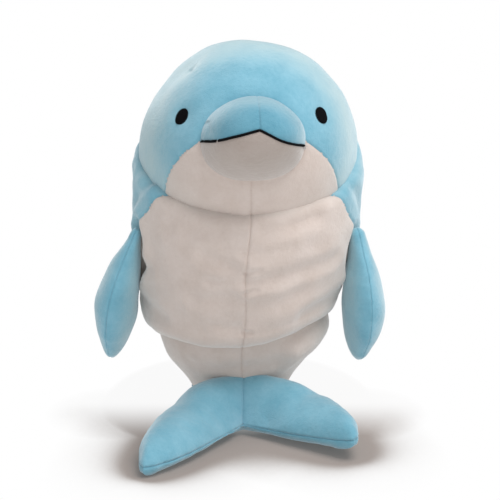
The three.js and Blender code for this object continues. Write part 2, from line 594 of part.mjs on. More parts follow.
// The fin stands on the flat facet down the middle of the back, clear of it all along.
function backFin() {
  const group = new THREE.Group();
  const rest = (height) => trunkPoint(height, 180 - 180 / TRUNK_SIDES).setX(trunkSection(height).axis.x);
  const [low, high] = [rest(FIN_HEIGHT - FIN_BASE / 2), rest(FIN_HEIGHT + FIN_BASE / 2)];
  const along = new THREE.Vector3().subVectors(high, low).normalize();
  const out = new THREE.Vector3(1, 0, 0).cross(along).negate();
  const bulge = Math.max(...trunkHeights().filter((height) => Math.abs(height - FIN_HEIGHT) < FIN_BASE).map(
    (height) => rest(height).sub(low).dot(out)));
  const middle = low.clone().add(high).multiplyScalar(0.5);
  group.position.copy(middle).addScaledVector(out, FIN_ROOT / 2 + PIVOT_PLAY + Math.max(bulge, 0));
  group.quaternion.setFromRotationMatrix(new THREE.Matrix4().makeBasis(out.clone().cross(along), out, along));
  const skin = finForm(0).subtract(finForm(FABRIC));
  const [right, left] = leftAndRight(skin);
  group.add(
    piece("fin_panel_right", largest(right), blue),
    piece("fin_panel_left", largest(left), blue),
    piece("fin_stuffing", finForm(FABRIC + SEAM_GAP), wadding),
  );
  return group;
}

// The leading and trailing edges of the lobe on one side, each from the middle to the tip.
function flukeEdges(side) {
  const lobe = side < 0 ? LOBES.right : LOBES.left;
  const curve = (start, rest) => new THREE.SplineCurve([[0, start], ...rest].map(([x, y]) => new THREE.Vector2(x, y)));
  return [curve(TAIL_SUNK, lobe.lead), curve(-FLUKE_NOTCH, lobe.trail)];
}

// How far the tail is curled up, at a distance to its left.
function curl(x) {
  return FLUKE_LIFT * Math.max(x / LOBES.left.lead.at(-1)[0], 0) ** 2;
}

// What lies above the tail's edge seam, or a little above it where shift is positive.
function aboveEdge(shift) {
  const xs = Array.from({ length: 9 }, (_, i) => LOBES.left.lead.at(-1)[0] * (i / 8));
  const line = [-FAR, ...xs, FAR].map((x) => {
    return new THREE.Vector2(x, FLUKE_SEAM - TAIL_CREASE + shift + curl(Math.min(x, xs.at(-1))));
  });
  return prism([...line, new THREE.Vector2(FAR, FAR), new THREE.Vector2(-FAR, FAR)], 2 * FAR, "xz");
}

// The flukes' form: lens sections from the leading to the trailing edge, from tip to tip. The
// root is highest at the crease and falls to the notch, and the lobes are pillows that lie flat
// on the floor. Every size shrinks by inset.
function flukeForm(inset) {
  const shares = [0, 0.16, 0.34, 0.54, 0.73, 0.88, 1 - inset / FLUKE_TIP];
  const toTips = [...shares.slice(1).reverse().map((share) => -share), ...shares];
  const rings = toTips.map((toTip) => {
    const share = Math.abs(toTip);
    const edges = flukeEdges(toTip).map((edge) => edge.getPoint(share));
    const inwards = edges[1].clone().sub(edges[0]).setLength(1.2 * inset);
    const [from, to] = [edges[0].add(inwards), edges[1].sub(inwards)];
    const lobe = smooth((share - 0.1) / 0.3);
    const crown = mix(TAIL_CREASE - FLUKE_SEAM, FLUKE_CROWN, lobe) * Math.sqrt(1 - 0.97 * share ** 3);
    return Array.from({ length: LIMB_SIDES + 2 }, (_, side) => {
      const around = (2 * Math.PI * side) / (LIMB_SIDES + 2);
      const { x, y } = from.clone().lerp(to, ((1 - Math.cos(around)) / 2) ** mix(1.6, 1, lobe));
      const full = Math.abs(Math.sin(around));
      const over = FLUKE_SEAM + (crown - inset) * full ** mix(2, 1.25, lobe);
      const under = Math.max(FLUKE_SEAM * (1 - 1.3 * full), inset);
      return new THREE.Vector3(x, y, (Math.sin(around) >= 0 ? over : under) + curl(x) - TAIL_CREASE);
    });
  });
  return loft(rings);
}

function tail() {
  const group = new THREE.Group();
  const crease = trunkPoint(TAIL_CREASE, 0);
  group.position.set(crease.x + FLUKE_ASIDE, crease.y - SEAM_GAP, TAIL_CREASE);
  const trunkClear = broughtInto(group, trunkForm(-SEAM_GAP));
  const fitted = (solid) => solid.subtract(trunkClear);
  const skin = fitted(flukeForm(0).subtract(flukeForm(FABRIC)));
  const [right, left] = leftAndRight(skin.intersect(aboveEdge(SEAM_GAP)));
  const under = skin.subtract(aboveEdge(0));
  group.add(
    piece("fluke_panel_right", largest(right), blue),
    piece("fluke_panel_left", largest(left), blue),
    piece("fluke_underside_panel", largest(under), blue),
    piece("fluke_stuffing", largest(fitted(flukeForm(FABRIC + SEAM_GAP))), wadding),
  );
  return group;
}

const toy = new THREE.Group();
toy.add(trunk(), head(), flipper(-1), flipper(1), backFin(), tail());
const box = new THREE.Box3().setFromObject(toy, true);
toy.position.set(-(box.min.x + box.max.x) / 2, -(box.min.y + box.max.y) / 2, -box.min.z);

export default toy;
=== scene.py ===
"""A plush dolphin that sits upright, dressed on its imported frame.

Every bag of the toy is built the way it is sewn. One smooth form is cut along its seams into panels, the panels'
edges roll in towards the stitching, and each panel gets the thickness of its fabric. Metres throughout: the toy
faces -Y, +X is its own left and +Z is up.
"""

from __future__ import annotations

import json
import logging
import math
from dataclasses import dataclass, field, replace
from enum import Enum
from typing import Callable, Sequence

import bmesh
import bpy
import numpy as np
from mathutils import Matrix, Vector

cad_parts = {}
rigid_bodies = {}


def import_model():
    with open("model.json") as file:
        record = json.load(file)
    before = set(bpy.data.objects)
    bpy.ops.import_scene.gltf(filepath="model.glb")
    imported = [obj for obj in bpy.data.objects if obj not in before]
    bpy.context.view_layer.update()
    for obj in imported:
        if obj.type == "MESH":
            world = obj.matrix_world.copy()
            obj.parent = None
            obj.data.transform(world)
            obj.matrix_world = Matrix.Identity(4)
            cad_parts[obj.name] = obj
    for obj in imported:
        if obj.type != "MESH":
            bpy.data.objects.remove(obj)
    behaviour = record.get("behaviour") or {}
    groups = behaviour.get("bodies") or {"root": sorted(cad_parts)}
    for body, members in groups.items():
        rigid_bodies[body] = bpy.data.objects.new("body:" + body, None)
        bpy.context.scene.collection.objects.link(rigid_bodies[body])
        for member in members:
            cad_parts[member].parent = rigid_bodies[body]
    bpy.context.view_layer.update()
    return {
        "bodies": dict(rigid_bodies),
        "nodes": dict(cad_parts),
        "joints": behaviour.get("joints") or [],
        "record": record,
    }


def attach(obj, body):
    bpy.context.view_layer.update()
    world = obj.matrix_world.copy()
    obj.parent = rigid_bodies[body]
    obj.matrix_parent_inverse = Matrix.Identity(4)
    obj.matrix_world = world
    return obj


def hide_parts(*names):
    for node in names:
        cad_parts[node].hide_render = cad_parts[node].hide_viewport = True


log = logging.getLogger("plush_dolphin")

Points = np.ndarray
Field = Callable[[Points], np.ndarray]
Form = bmesh.types.BMesh
Socket = bpy.types.NodeSocket
Triple = tuple[float, float, float]
Route = tuple[tuple[float, float], ...]

MM = 0.001
FABRIC = 2.2 * MM
STUFFING_DEPTH = 2.9 * MM
WHITE = (1, 1, 1, 1)

# Vertices nearer than SNAP to a cut are moved onto it, and edges shorter than SLIVER are closed afterwards.
SNAP = 0.7 * MM
SLIVER = 0.3 * MM

# The step over which a field's slope is measured, and the slope, squared, that a cut needs at least.
SLOPE_STEP = 1e-5
SLOPE_SQUARED = 0.02

# How far the painted seam shade reaches beside a seam, as a share of its width, and from what painted shade on a
# seam the cloth is held.
SHADE_REACH = 0.45
HELD = 0.04

# How far forward a surface faces where the painted sheen on its pile starts, and over how much it fades in.
PAINTED_SHEEN_TURN = 0.85
PAINTED_SHEEN_FADE = 0.45


class Body(Enum):
    """The toy's bodies, each of which moves as one."""

    TRUNK = "trunk"
    HEAD = "head"
    FLIPPER_RIGHT = "flipper_right"
    FLIPPER_LEFT = "flipper_left"
    FIN = "fin"
    TAIL = "tail"


class Slot(Enum):
    """The finishes that the toy is made of."""

    BLUE = "blue_plush"
    CREAM = "cream_plush"
    THREAD = "black_thread"
    FILLING = "fibre_filling"


# Small tools of form


def smooth(share: Points) -> Points:
    """A soft step from 0 to 1."""
    t = np.clip(share, 0.0, 1.0)
    return t * t * (3 - 2 * t)


def mix(low: Points, high: Points, share: Points) -> Points:
    """Between low and high."""
    return low + (high - low) * share


def ramp(start: float, width: float, at: Points) -> Points:
    """A straight step: 0 up to its start, and 1 from its width on."""
    return np.clip((at - start) / width, 0, 1)


def bell(away: Points) -> Points:
    """1 in the middle, and falling off smoothly on both sides."""
    return np.exp(-(away**2))


def circle(across: Points) -> Points:
    """How high a unit circle stands at places across it."""
    return np.sqrt(np.clip(1 - across**2, 0, 1))


def lens(around: Points, sharp: Points) -> Points:
    """How far a bag's section stands out at angles around it, with its seams at 0 and pi."""
    return np.sign(np.sin(around)) * np.abs(np.sin(around)) ** sharp


def gathered(share: Points) -> Points:
    """Angles around a lens section, closer together at its two seams."""
    half = (2 * share) % 1
    return math.pi * (np.floor(2 * share) + mix(half, smooth(half), 0.75))


def cubic(t: Points, start: Points, slope_in: Points, end: Points, slope_out: Points) -> Points:
    """The curve from start, where t is 0, to end, where t is 1, with its slopes there."""
    return (
        (2 * t**3 - 3 * t**2 + 1) * start
        + (t**3 - 2 * t**2 + t) * slope_in
        + (3 * t**2 - 2 * t**3) * end
        + (t**3 - t**2) * slope_out
    )


def through(stations: Sequence[Sequence[float]], at: Points) -> Points:
    """A smooth curve through stations.

    Args:
        stations: rows of a place followed by the sizes there.
        at: the places asked for.

    Returns:
        The sizes at each place, one row each.
    """
    table = np.array(stations, float)
    places, sizes = table[:, 0], table[:, 1:]
    slopes = np.gradient(sizes, places, axis=0)
    at = np.clip(at, places[0], places[-1])
    i = np.clip(np.searchsorted(places, at, side="right") - 1, 0, len(places) - 2)
    span = (places[i + 1] - places[i])[:, None]
    t = (at - places[i])[:, None] / span
    return cubic(t, sizes[i], span * slopes[i], sizes[i + 1], span * slopes[i + 1])


def spline(corners: Sequence[Sequence[float]], share: Points) -> Points:
    """A curve through its corners, which take equal shares of its length.

    Args:
        corners: the points it goes through.
        share: 0 at the first corner and 1 at the last.

    Returns:
        The points on the curve.
    """
    ends = np.array(corners, float)
    along = np.clip(share, 0, 1) * (len(ends) - 1)
    i = np.clip(np.floor(along).astype(int), 0, len(ends) - 2)
    t = (along - i)[:, None]
    before, start = ends[np.maximum(i - 1, 0)], ends[i]
    end, after = ends[i + 1], ends[np.minimum(i + 2, len(ends) - 1)]
    return cubic(t, start, (end - before) / 2, end, (after - start) / 2)


def lumps(points: Points, size: float, seed: int) -> Points:
    """Soft irregular hills and hollows.

    Args:
        points: where they are read.
        size: rough distance between two hills.
        seed: which set of hills.

    Returns:
        Heights, mostly from -1 to 1.
    """
    random = np.random.default_rng(seed)
    waves = 14
    directions = random.normal(size=(waves, 3))
    directions /= np.linalg.norm(directions, axis=1)[:, None]
    pitches = 2 * math.pi / (size * random.uniform(0.8, 1.6, waves))
    phases = random.uniform(0, 2 * math.pi, waves)
    return np.sin(points @ (directions * pitches[:, None]).T + phases).sum(1) / math.sqrt(waves)


def placed(points: Points, matrix: Matrix) -> Points:
    """Points moved by a matrix."""
    m = np.array(matrix)
    return points @ m[:3, :3].T + m[:3, 3]


# Mesh work


def read_points(bm: Form) -> Points:
    """All vertex places, one row each."""
    return np.array([v.co for v in bm.verts], float).reshape(-1, 3)


def write_points(bm: Form, points: Points) -> None:
    """Moves every vertex to its row's place."""
    for vert, place in zip(bm.verts, points):
        vert.co = place


def move(bm: Form, matrix: Matrix) -> None:
    """Moves a whole mesh by a matrix."""
    write_points(bm, placed(read_points(bm), matrix))


def face_centres(bm: Form) -> Points:
    """The middle of each face, one row each."""
    return np.array([f.calc_center_median() for f in bm.faces], float).reshape(-1, 3)


def read_normals(bm: Form) -> Points:
    """All vertex normals, one row each."""
    bm.normal_update()
    return np.array([v.normal for v in bm.verts], float).reshape(-1, 3)


def gridded(rows: int, columns: int, place: Callable[[Points, Points], Points]) -> Form:
    """A grid laid over a form.

    Args:
        rows: facets along the form.
        columns: facets around it.
        place: the point for each pair of shares, along and around.

    Returns:
        The form's mesh, with coinciding points merged and its faces turned outwards.
    """
    bm = bmesh.new()
    bmesh.ops.create_grid(bm, x_segments=rows, y_segments=columns, size=0.5)
    flat = read_points(bm)
    flat = (flat - flat.min(0)) / np.maximum(flat.max(0) - flat.min(0), 1e-9)
    write_points(bm, place(flat[:, 0], flat[:, 1]))
    bmesh.ops.remove_doubles(bm, verts=bm.verts, dist=1e-6)
    bmesh.ops.recalc_face_normals(bm, faces=bm.faces)
    return bm


def gradient(line: Field, points: Points, normals: Points) -> Points:
    """How a field grows along the surface: its slope there, without the part that points off the surface.

    Args:
        line: the field.
        points: where it is read.
        normals: the surface's normals there.

    Returns:
        The slopes, one row each.
    """
    steps = SLOPE_STEP * np.eye(3)
    slope = np.stack([(line(points + step) - line(points - step)) / (2 * SLOPE_STEP) for step in steps], 1)
    return slope - (slope * normals).sum(1)[:, None] * normals


@dataclass(frozen=True)
class Seam:
    """A sewn line on a form.

    Attributes:
        line: a field that is 0 on the seam.
        within: a field that is positive where the seam is sewn, or None for everywhere.
        depth: how deep the panels' edges roll in.
        width: how far from the seam they start to.
        ribs: where edges run along it, on both sides.
        shade: how much darker the pile is painted in its groove, as painted shade.
    """

    line: Field
    within: Field | None = None
    depth: float = 2.2 * MM
    width: float = 4.0 * MM
    ribs: tuple[float, ...] = (-3.0 * MM, -1.1 * MM, 0.0, 1.1 * MM, 3.0 * MM)
    shade: float = 0.6

    def distance(self, points: Points, normals: Points) -> Points:
        """How far each point of a surface lies from the seam, along the surface.

        Args:
            points: the surface's points.
            normals: its normals there.

        Returns:
            The distances.
        """
        slope = np.linalg.norm(gradient(self.line, points, normals), axis=1)
        away = np.abs(self.line(points)) / np.maximum(slope, 0.05)
        if self.within is None:
            return away
        inside = self.within(points)
        return np.hypot(away, np.maximum(-inside, 0))

    def roll(self, away: Points) -> Points:
        """How far the surface is drawn in, at a distance from the seam."""
        near = 1 - np.clip(away / self.width, 0, 1)
        return self.depth * (1 - circle(near))


def cut_along(bm: Form, line: Field, within: Field | None) -> None:
    """Puts an edge loop on a mesh where a field is 0.

    Args:
        bm: the mesh.
        line: the field.
        within: positive where the loop is wanted, or None.
    """
    points, normals = read_points(bm), read_normals(bm)
    value = line(points)
    slope = gradient(line, points, normals)
    square = np.maximum((slope**2).sum(1), 1e-4)
    allowed = np.ones(len(points), bool) if within is None else within(points) > -SNAP
    near = allowed & (np.abs(value) < SNAP * np.sqrt(square)) & (square > SLOPE_SQUARED)
    points[near] -= (value[near] / square[near])[:, None] * slope[near]
    value[near] = 0
    write_points(bm, points)
    bm.verts.index_update()
    percents = {}
    for edge in bm.edges:
        a, b = edge.verts[0].index, edge.verts[1].index
        if value[a] * value[b] < 0 and allowed[a] and allowed[b]:
            percents[edge] = value[a] / (value[a] - value[b])
    for vert, is_near in zip(bm.verts, near):
        vert.select = bool(is_near)
    if percents:
        cut = bmesh.ops.bisect_edges(bm, edges=list(percents), cuts=1, edge_percents=percents)
        for made in cut["geom_split"]:
            made.select = True
    bmesh.ops.connect_verts(bm, verts=[v for v in bm.verts if v.select])


def sew(
    bm: Form,
    seams: Sequence[Seam],
    relief: Field | None = None,
    nap: float = 0.0,
    frost: float = 0.0,
) -> Points:
    """Cuts a form along its seams, draws it in there, gives it its creases, and stores masks of painted seam shade,
    painted shade and painted sheen.

    Args:
        bm: the form.
        seams: its seams.
        relief: how far each point of the form stands out of it, or None.
        nap: how much painted shade darkens its whole pile.
        frost: how much painted sheen pales its pile where the form turns away from its front.

    Returns:
        The middle of each face before it was drawn in, one row each.
    """
    for seam in seams:
        for rib in seam.ribs:
            cut_along(bm, lambda p, s=seam, r=rib: s.line(p) - r, seam.within)
    bmesh.ops.remove_doubles(bm, verts=bm.verts, dist=SLIVER)
    bmesh.ops.triangulate(bm, faces=[f for f in bm.faces if len(f.verts) > 4])
    points, normals = read_points(bm), read_normals(bm)
    middles = face_centres(bm)
    drawn_in = np.zeros(len(points))
    seam_shade = np.zeros(len(points))
    # Painted shade: each seam's groove is painted darker, strongest at the stitching.
    for seam in seams:
        away = seam.distance(points, normals)
        drawn_in = np.maximum(drawn_in, seam.roll(away))
        seam_shade = np.maximum(seam_shade, seam.shade * bell(away / (SHADE_REACH * seam.width)))
    out = -drawn_in + (relief(points) if relief else 0)
    write_points(bm, points + normals * out[:, None])
    # Painted sheen: the pile is painted paler where the surface turns away from the front (-Y).
    painted_sheen_share = frost * smooth((PAINTED_SHEEN_TURN + normals[:, 1]) / PAINTED_SHEEN_FADE)
    # Painted shade over the whole piece, by the share given for it.
    masks = {"seam": np.minimum(seam_shade, 1), "nap": np.full(len(points), nap), "frost": painted_sheen_share}
    for name in masks:
        bm.verts.layers.float.new(name)
    for name, values in masks.items():
        layer = bm.verts.layers.float[name]
        for vert, value in zip(bm.verts, values):
            vert[layer] = float(value)
    return middles


def swell(bm: Form, cap: float, pressure: float = 4.0, frames: int = 20) -> None:
    """Lets a sewn bag swell over its filling, in a short cloth simulation held at the seams.

    Args:
        bm: the bag, after it is sewn.
        cap: how far a point may move at most.
        pressure: how hard the filling presses.
        frames: how many steps are simulated.
    """
    sewn = bm.verts.layers.float["seam"]
    bm.verts.index_update()
    held = [v.index for v in bm.verts if v[sewn] > HELD or v.is_boundary]
    before = read_points(bm)
    mesh = bpy.data.meshes.new("swelling")
    bm.to_mesh(mesh)
    bag = bpy.data.objects.new("swelling", mesh)
    scene = bpy.context.scene
    scene.collection.objects.link(bag)
    bag.vertex_groups.new(name="sewn").add(held, 1.0, "REPLACE")
    cloth = bag.modifiers.new("cloth", "CLOTH")
    cloth.settings.vertex_group_mass = "sewn"
    cloth.settings.use_pressure = True
    cloth.settings.uniform_pressure_force = pressure
    cloth.settings.effector_weights.gravity = 0
    cloth.point_cache.frame_start, cloth.point_cache.frame_end = 1, frames
    for frame in range(1, frames + 1):
        scene.frame_set(frame)
    swollen = bag.evaluated_get(bpy.context.evaluated_depsgraph_get()).to_mesh()
    after = np.empty(len(before) * 3)
    swollen.vertices.foreach_get("co", after)
    shift = after.reshape(-1, 3) - before
    length = np.linalg.norm(shift, axis=1)
    allowed = cap * np.tanh(length / cap) / np.maximum(length, 1e-9)
    write_points(bm, before + shift * allowed[:, None])
    log.info("swollen: %d points, %.1f mm at most", len(before), 1000 * (length * allowed).max())
    bpy.data.objects.remove(bag)
    bpy.data.meshes.remove(mesh)
    scene.frame_set(1)


def to_object(name: str, bm: Form) -> bpy.types.Object:
    """A mesh object in the scene, smooth but for its open edges. The bmesh is used up.

    Args:
        name: the object's name.
        bm: its mesh.

    Returns:
        The object.
    """
    mesh = bpy.data.meshes.new(name)
    for edge in bm.edges:
        edge.smooth = not edge.is_boundary
    for face in bm.faces:
        face.smooth = True
    bm.to_mesh(mesh)
    bm.free()
    made = bpy.data.objects.new(name, mesh)
    bpy.context.scene.collection.objects.link(made)
    return made


def panel(name: str, bm: Form, kept: np.ndarray) -> bpy.types.Object:
    """One panel of a sewn form: the faces kept, given the thickness of the fabric.

    Args:
        name: the panel's name.
        bm: the form.
        kept: which of its faces are the panel's.

    Returns:
        The panel.
    """
    part = bm.copy()
    bmesh.ops.delete(part, geom=[f for f, keep in zip(list(part.faces), kept) if not keep], context="FACES")
    made = to_object(name, part)
    cloth = made.modifiers.new("fabric", "SOLIDIFY")
    cloth.thickness = FABRIC
    cloth.offset = -1
    return made


@dataclass(frozen=True)
class Cut:
    """One panel that is cut from a sewn form.

    Attributes:
        name: the panel's name.
        node: the CAD node that it stands for.
        slot: its finish.
        kept: which of the form's faces are its own.
    """

    name: str
    node: str
    slot: Slot
    kept: np.ndarray


def cut_pair(name: str, slot: Slot, kept: np.ndarray, is_left: np.ndarray) -> list[Cut]:
    """The right and the left panel of the faces kept."""
    halves = (("right", ~is_left), ("left", is_left))
    return [Cut(f"{name}_{way}", f"{name}_panel_{way}", slot, kept & half) for way, half in halves]


@dataclass
class Wardrobe:
    """The finished materials, and what dresses a piece in one of them."""

    materials: dict[Slot, bpy.types.Material]

    def dress(
        self,
        piece: bpy.types.Object,
        body: Body,
        slot: Slot,
        nodes: Sequence[str],
    ) -> None:
        """Gives a piece its finish, its body and the CAD nodes that it stands for.

        Args:
            piece: the piece.
            body: the body that it moves with.
            slot: its finish.
            nodes: the CAD nodes that it replaces.
        """
        piece.data.materials.clear()
        piece.data.materials.append(self.materials[slot])
        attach(piece, body.value)
        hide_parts(*nodes)
        log.info("%s: %d faces on %s", piece.name, len(piece.data.polygons), body.value)

    def dress_panels(self, bm: Form, body: Body, cuts: Sequence[Cut]) -> None:
        """Cuts a sewn form into its panels and dresses each. The form is used up.

        Args:
            bm: the form.
            body: the body that it moves with.
            cuts: its panels.
        """
        for cut in cuts:
            self.dress(panel(cut.name, bm, cut.kept), body, cut.slot, [cut.node])
        bm.free()


# The trunk


@dataclass(frozen=True)
class Crease:
    """A soft fold pressed into the belly.

    Attributes:
        route: its (degrees from the front, height) points.
        depth: how deep it is at its middle.
        width: how wide it is.
    """

    route: Route
    depth: float
    width: float

    def profile(self, away: Points) -> Points:
        """How far the surface stands out at a distance: the fold, and the swelling beside it."""
        beside = 0.4 * max(self.depth, 0.0)
        return beside * bell((away - 1.8 * self.width) / self.width) - self.depth * bell(away / self.width)


@dataclass
class Trunk:
    """The body of the toy: a flat seat, the hip, a fold at the waist and the belly up to the collar.

    Attributes:
        foot: the middle of the seat, on the floor.
        head_centre: the middle of the head that the collar holds.
        head_radius: its radius.
    """

    foot: Vector
    head_centre: Vector
    head_radius: float
    seat: Triple = (39 * MM, 38 * MM, 58 * MM)
    stock: Triple = (53 * MM, 42 * MM, 78 * MM)
    hip: Triple = (77 * MM, 59 * MM, 92 * MM)
    waist: Triple = (83 * MM, 68 * MM, 99 * MM)
    belly: Triple = (97 * MM, 90 * MM, 108 * MM)
    shoulder: Triple = (113.5 * MM, 110 * MM, 117 * MM)
    stock_height: float = 31 * MM
    hip_height: float = 56 * MM
    waist_height: float = 86 * MM
    shoulder_height: float = 205 * MM
    lean: float = 20 * MM
    aside: float = 9 * MM
    collar_tilt: float = math.radians(22)
    collar_drop: float = 5 * MM
    collar_stand: float = 7 * MM
    collar_round: float = 13 * MM
    collar_nape: float = 6 * MM
    rim_round: float = 10 * MM
    rim_share: float = 0.8
    lip_reach: float = 17 * MM
    lip_height: float = 0.68
    lip_start: float = math.radians(205)
    fold_lift: float = 7 * MM
    fold_rise: float = 4 * MM
    fold_slant: float = 15 * MM
    fold_reach: float = 38 * MM
    fold_clear: float = 60 * MM
    tuck_depth: float = 0.1
    seam_wave: float = 1.2 * MM
    seam_pitch: float = 95 * MM
    seam_aside: float = 3.5 * MM
    seam_start: float = 70 * MM
    side_root: float = 206 * MM
    flat_under: float = 25 * MM
    rows: tuple[int, int, int, int, int, int] = (10, 44, 22, 66, 12, 3)
    columns: int = 300
    creases: tuple[Crease, ...] = (
        Crease(((-21, 0.183), (-9, 0.175), (-1, 0.168)), 2.3 * MM, 7 * MM),
        Crease(((3, 0.158), (12, 0.160), (24, 0.163), (38, 0.167), (52, 0.172)), 2.8 * MM, 7 * MM),
        Crease(((-17, 0.158), (-8, 0.159), (-1, 0.1595)), 1.3 * MM, 4.5 * MM),
        Crease(((-27, 0.139), (-12, 0.140), (-1, 0.141)), 1.4 * MM, 7 * MM),
        Crease(((8, 0.134), (18, 0.137), (34, 0.144)), 1.6 * MM, 9 * MM),
        Crease(((1, 0.168), (8, 0.171)), 1.7 * MM, 2.8 * MM),
        Crease(((1, 0.148), (7, 0.151)), 1.7 * MM, 2.6 * MM),
        Crease(((-16, 0.1125), (-7, 0.1105), (-1, 0.111)), 1.2 * MM, 4.5 * MM),
        Crease(((1, 0.106), (6, 0.106)), 1.6 * MM, 2.4 * MM),
        Crease(((10, 0.209), (22, 0.212), (38, 0.217)), 3.0 * MM, 8 * MM),
        Crease(((1, 0.187), (12, 0.189), (24, 0.192)), 0.9 * MM, 5 * MM),
        Crease(((-10, 0.192), (-1, 0.188)), 1.0 * MM, 4 * MM),
        Crease(((38, 0.118), (58, 0.127), (84, 0.139)), 1.8 * MM, 8 * MM),
        Crease(((-86, 0.132), (-64, 0.120), (-50, 0.113)), 1.8 * MM, 8 * MM),
        Crease(((-78, 0.165), (-66, 0.160), (-58, 0.160)), 1.8 * MM, 7 * MM),
        Crease(((-70, 0.196), (-66, 0.178), (-66, 0.162), (-74, 0.146)), 8.0 * MM, 8 * MM),
        Crease(((72, 0.190), (69, 0.172), (72, 0.156)), 3.0 * MM, 8 * MM),
        Crease(((48, 0.074), (76, 0.086), (104, 0.092)), -10.0 * MM, 17 * MM),
        Crease(((-48, 0.062), (-16, 0.058), (18, 0.060), (46, 0.066)), 1.2 * MM, 6 * MM),
        Crease(((66, 0.236), (74, 0.222), (80, 0.206)), 2.2 * MM, 6 * MM),
        Crease(((-64, 0.240), (-72, 0.224), (-79, 0.204)), 2.2 * MM, 6 * MM),
        Crease(((-84, 0.244), (-90, 0.226), (-94, 0.205)), 1.8 * MM, 6 * MM),
    )

    def section(self, height: Points) -> tuple[Points, Points, Points]:
        """The trunk's axis at a height.

        Args:
            height: heights on the axis.

        Returns:
            The axis's X and Y there, and the tilt of the section.
        """
        collar = self.collar_height()
        up = ramp(self.waist_height, collar - self.waist_height, height)
        x = self.foot.x - self.aside * (1 - up)
        y = self.foot.y + self.lean * height / self.head_centre.z
        return x, y, self.collar_tilt * up**1.5

    def collar_height(self) -> float:
        """Where the collar's hem crosses the trunk's axis."""
        return self.head_centre.z - self.collar_drop

    def hip_sizes(self, height: Points) -> Points:
        """Half width, front and back of the part below the fold."""
        stations = [
            (0.0, *self.seat),
            (self.stock_height, *self.stock),
            (self.hip_height, *self.hip),
            (self.waist_height, *self.waist),
        ]
        return through(stations, height)

    def belly_sizes(self, height: Points) -> Points:
        """Half width, front and back of the part above the fold.

        Args:
            height: heights on the axis.

        Returns:
            The sizes, one row each.
        """
        collar = self.collar_height()
        radius = math.sqrt(self.head_radius**2 - (self.collar_drop * math.cos(self.collar_tilt)) ** 2)
        depth = radius * math.cos(self.collar_tilt) + self.collar_stand
        fullness = (0.6, 0.6, 0.4)
        middle = [mix(low, high, share) for low, high, share in zip(self.belly, self.shoulder, fullness)]
        stations = [
            (self.waist_height, *self.belly),
            ((self.waist_height + self.shoulder_height) / 2, *middle),
            (self.shoulder_height, *self.shoulder),
            (collar - self.collar_round, radius + self.collar_stand, depth, depth + self.collar_nape),
        ]
        return through(stations, height)

    def profile(self) -> tuple[Points, Points]:
        """The rows of the trunk from the seat's middle to the hem tucked under the head.

        Returns:
            Each row's height on the axis, and its half width, front and back.
        """
        flat, hip_rows, lip_rows, belly_rows, collar_rows, _ = self.rows
        disc = np.linspace(0, 1, flat, endpoint=False)
        rim = self.hip_sizes(np.zeros(1)) - self.rim_round * self.rim_share
        heights = [np.zeros(flat)]
        sizes = [rim * disc[:, None]]

        hip = np.linspace(0, 1, hip_rows) ** 1.25 * self.waist_height
        rounding = 1 - circle(1 - np.minimum(hip / self.rim_round, 1))
        heights.append(hip)
        sizes.append(self.hip_sizes(hip) - self.rim_round * self.rim_share * rounding[:, None])

        turn = np.linspace(self.lip_start, 2 * math.pi, lip_rows + 1)[1:]
        share = (np.cos(turn) - math.cos(self.lip_start)) / (1 - math.cos(self.lip_start))
        outer = self.waist_height + self.lip_height * self.lip_reach
        fullest = self.belly_sizes(np.full(1, outer))
        heights.append(outer + self.lip_reach * np.sin(turn))
        sizes.append(mix(self.hip_sizes(np.full(1, self.waist_height)), fullest, share[:, None]))

        top = self.collar_height() - self.collar_round
        belly = np.linspace(outer, top, belly_rows + 1)[1:]
        heights.append(belly)
        sizes.append(self.belly_sizes(belly))

        roll = np.linspace(0, math.pi / 2, collar_rows + 1)[1:]
        heights.append(top + self.collar_round * np.sin(roll))
        last = self.belly_sizes(np.full(1, top))
        sizes.append(last - (self.collar_stand * (1 - np.cos(roll)))[:, None])
        return np.concatenate(heights), np.concatenate(sizes)

    def around(self, height: Points, sizes: Points, angle: Points) -> Points:
        """Points of the trunk's rings.

        Args:
            height: each point's height on the axis.
            sizes: half width, front and back there.
            angle: 0 at the front, and growing towards the toy's left.

        Returns:
            The points.
        """
        x, y, tilt = self.section(height)
        forward = np.cos(angle)
        reach = -forward * np.where(forward > 0, sizes[:, 1], sizes[:, 2])
        near_fold = bell((height - self.waist_height) / self.fold_reach)
        aside = np.sin(angle)
        lift = self.fold_lift + self.fold_rise * aside**2 + self.fold_slant * smooth(1.1 * aside)
        lift = lift * near_fold * smooth(height / self.fold_clear)
        return np.stack([x + sizes[:, 0] * aside, y + reach, height + reach * np.tan(tilt) + lift], 1)

    def form(self) -> Form:
        """The whole trunk, before it is sewn.

        Returns:
            The form.
        """
        heights, sizes = self.profile()
        tuck = self.rows[-1]
        rows = len(heights) + tuck - 1
        centre = np.array(self.head_centre)

        def place(along: Points, about: Points) -> Points:
            """A point of the trunk's skin, for shares of its rows and around it."""
            row = np.rint(along * rows).astype(int)
            shown = np.minimum(row, len(heights) - 1)
            angle = (about - 0.5) * 2 * math.pi
            points = self.around(heights[shown], sizes[shown], angle)
            deep = (row - shown) / tuck
            return centre + (points - centre) * (1 - self.tuck_depth * deep)[:, None]

        return gridded(rows, self.columns, place)

    def middle(self, points: Points) -> Points:
        """How far each point lies to the left of the trunk's leaning middle.

        Args:
            points: the points.

        Returns:
            The distances, negative on the right.
        """
        x, _, _ = self.section(points[:, 2])
        wave = self.seam_wave * np.sin(points[:, 2] * 2 * math.pi / self.seam_pitch)
        return points[:, 0] - x - wave - self.seam_aside * smooth(points[:, 2] / self.seam_start)

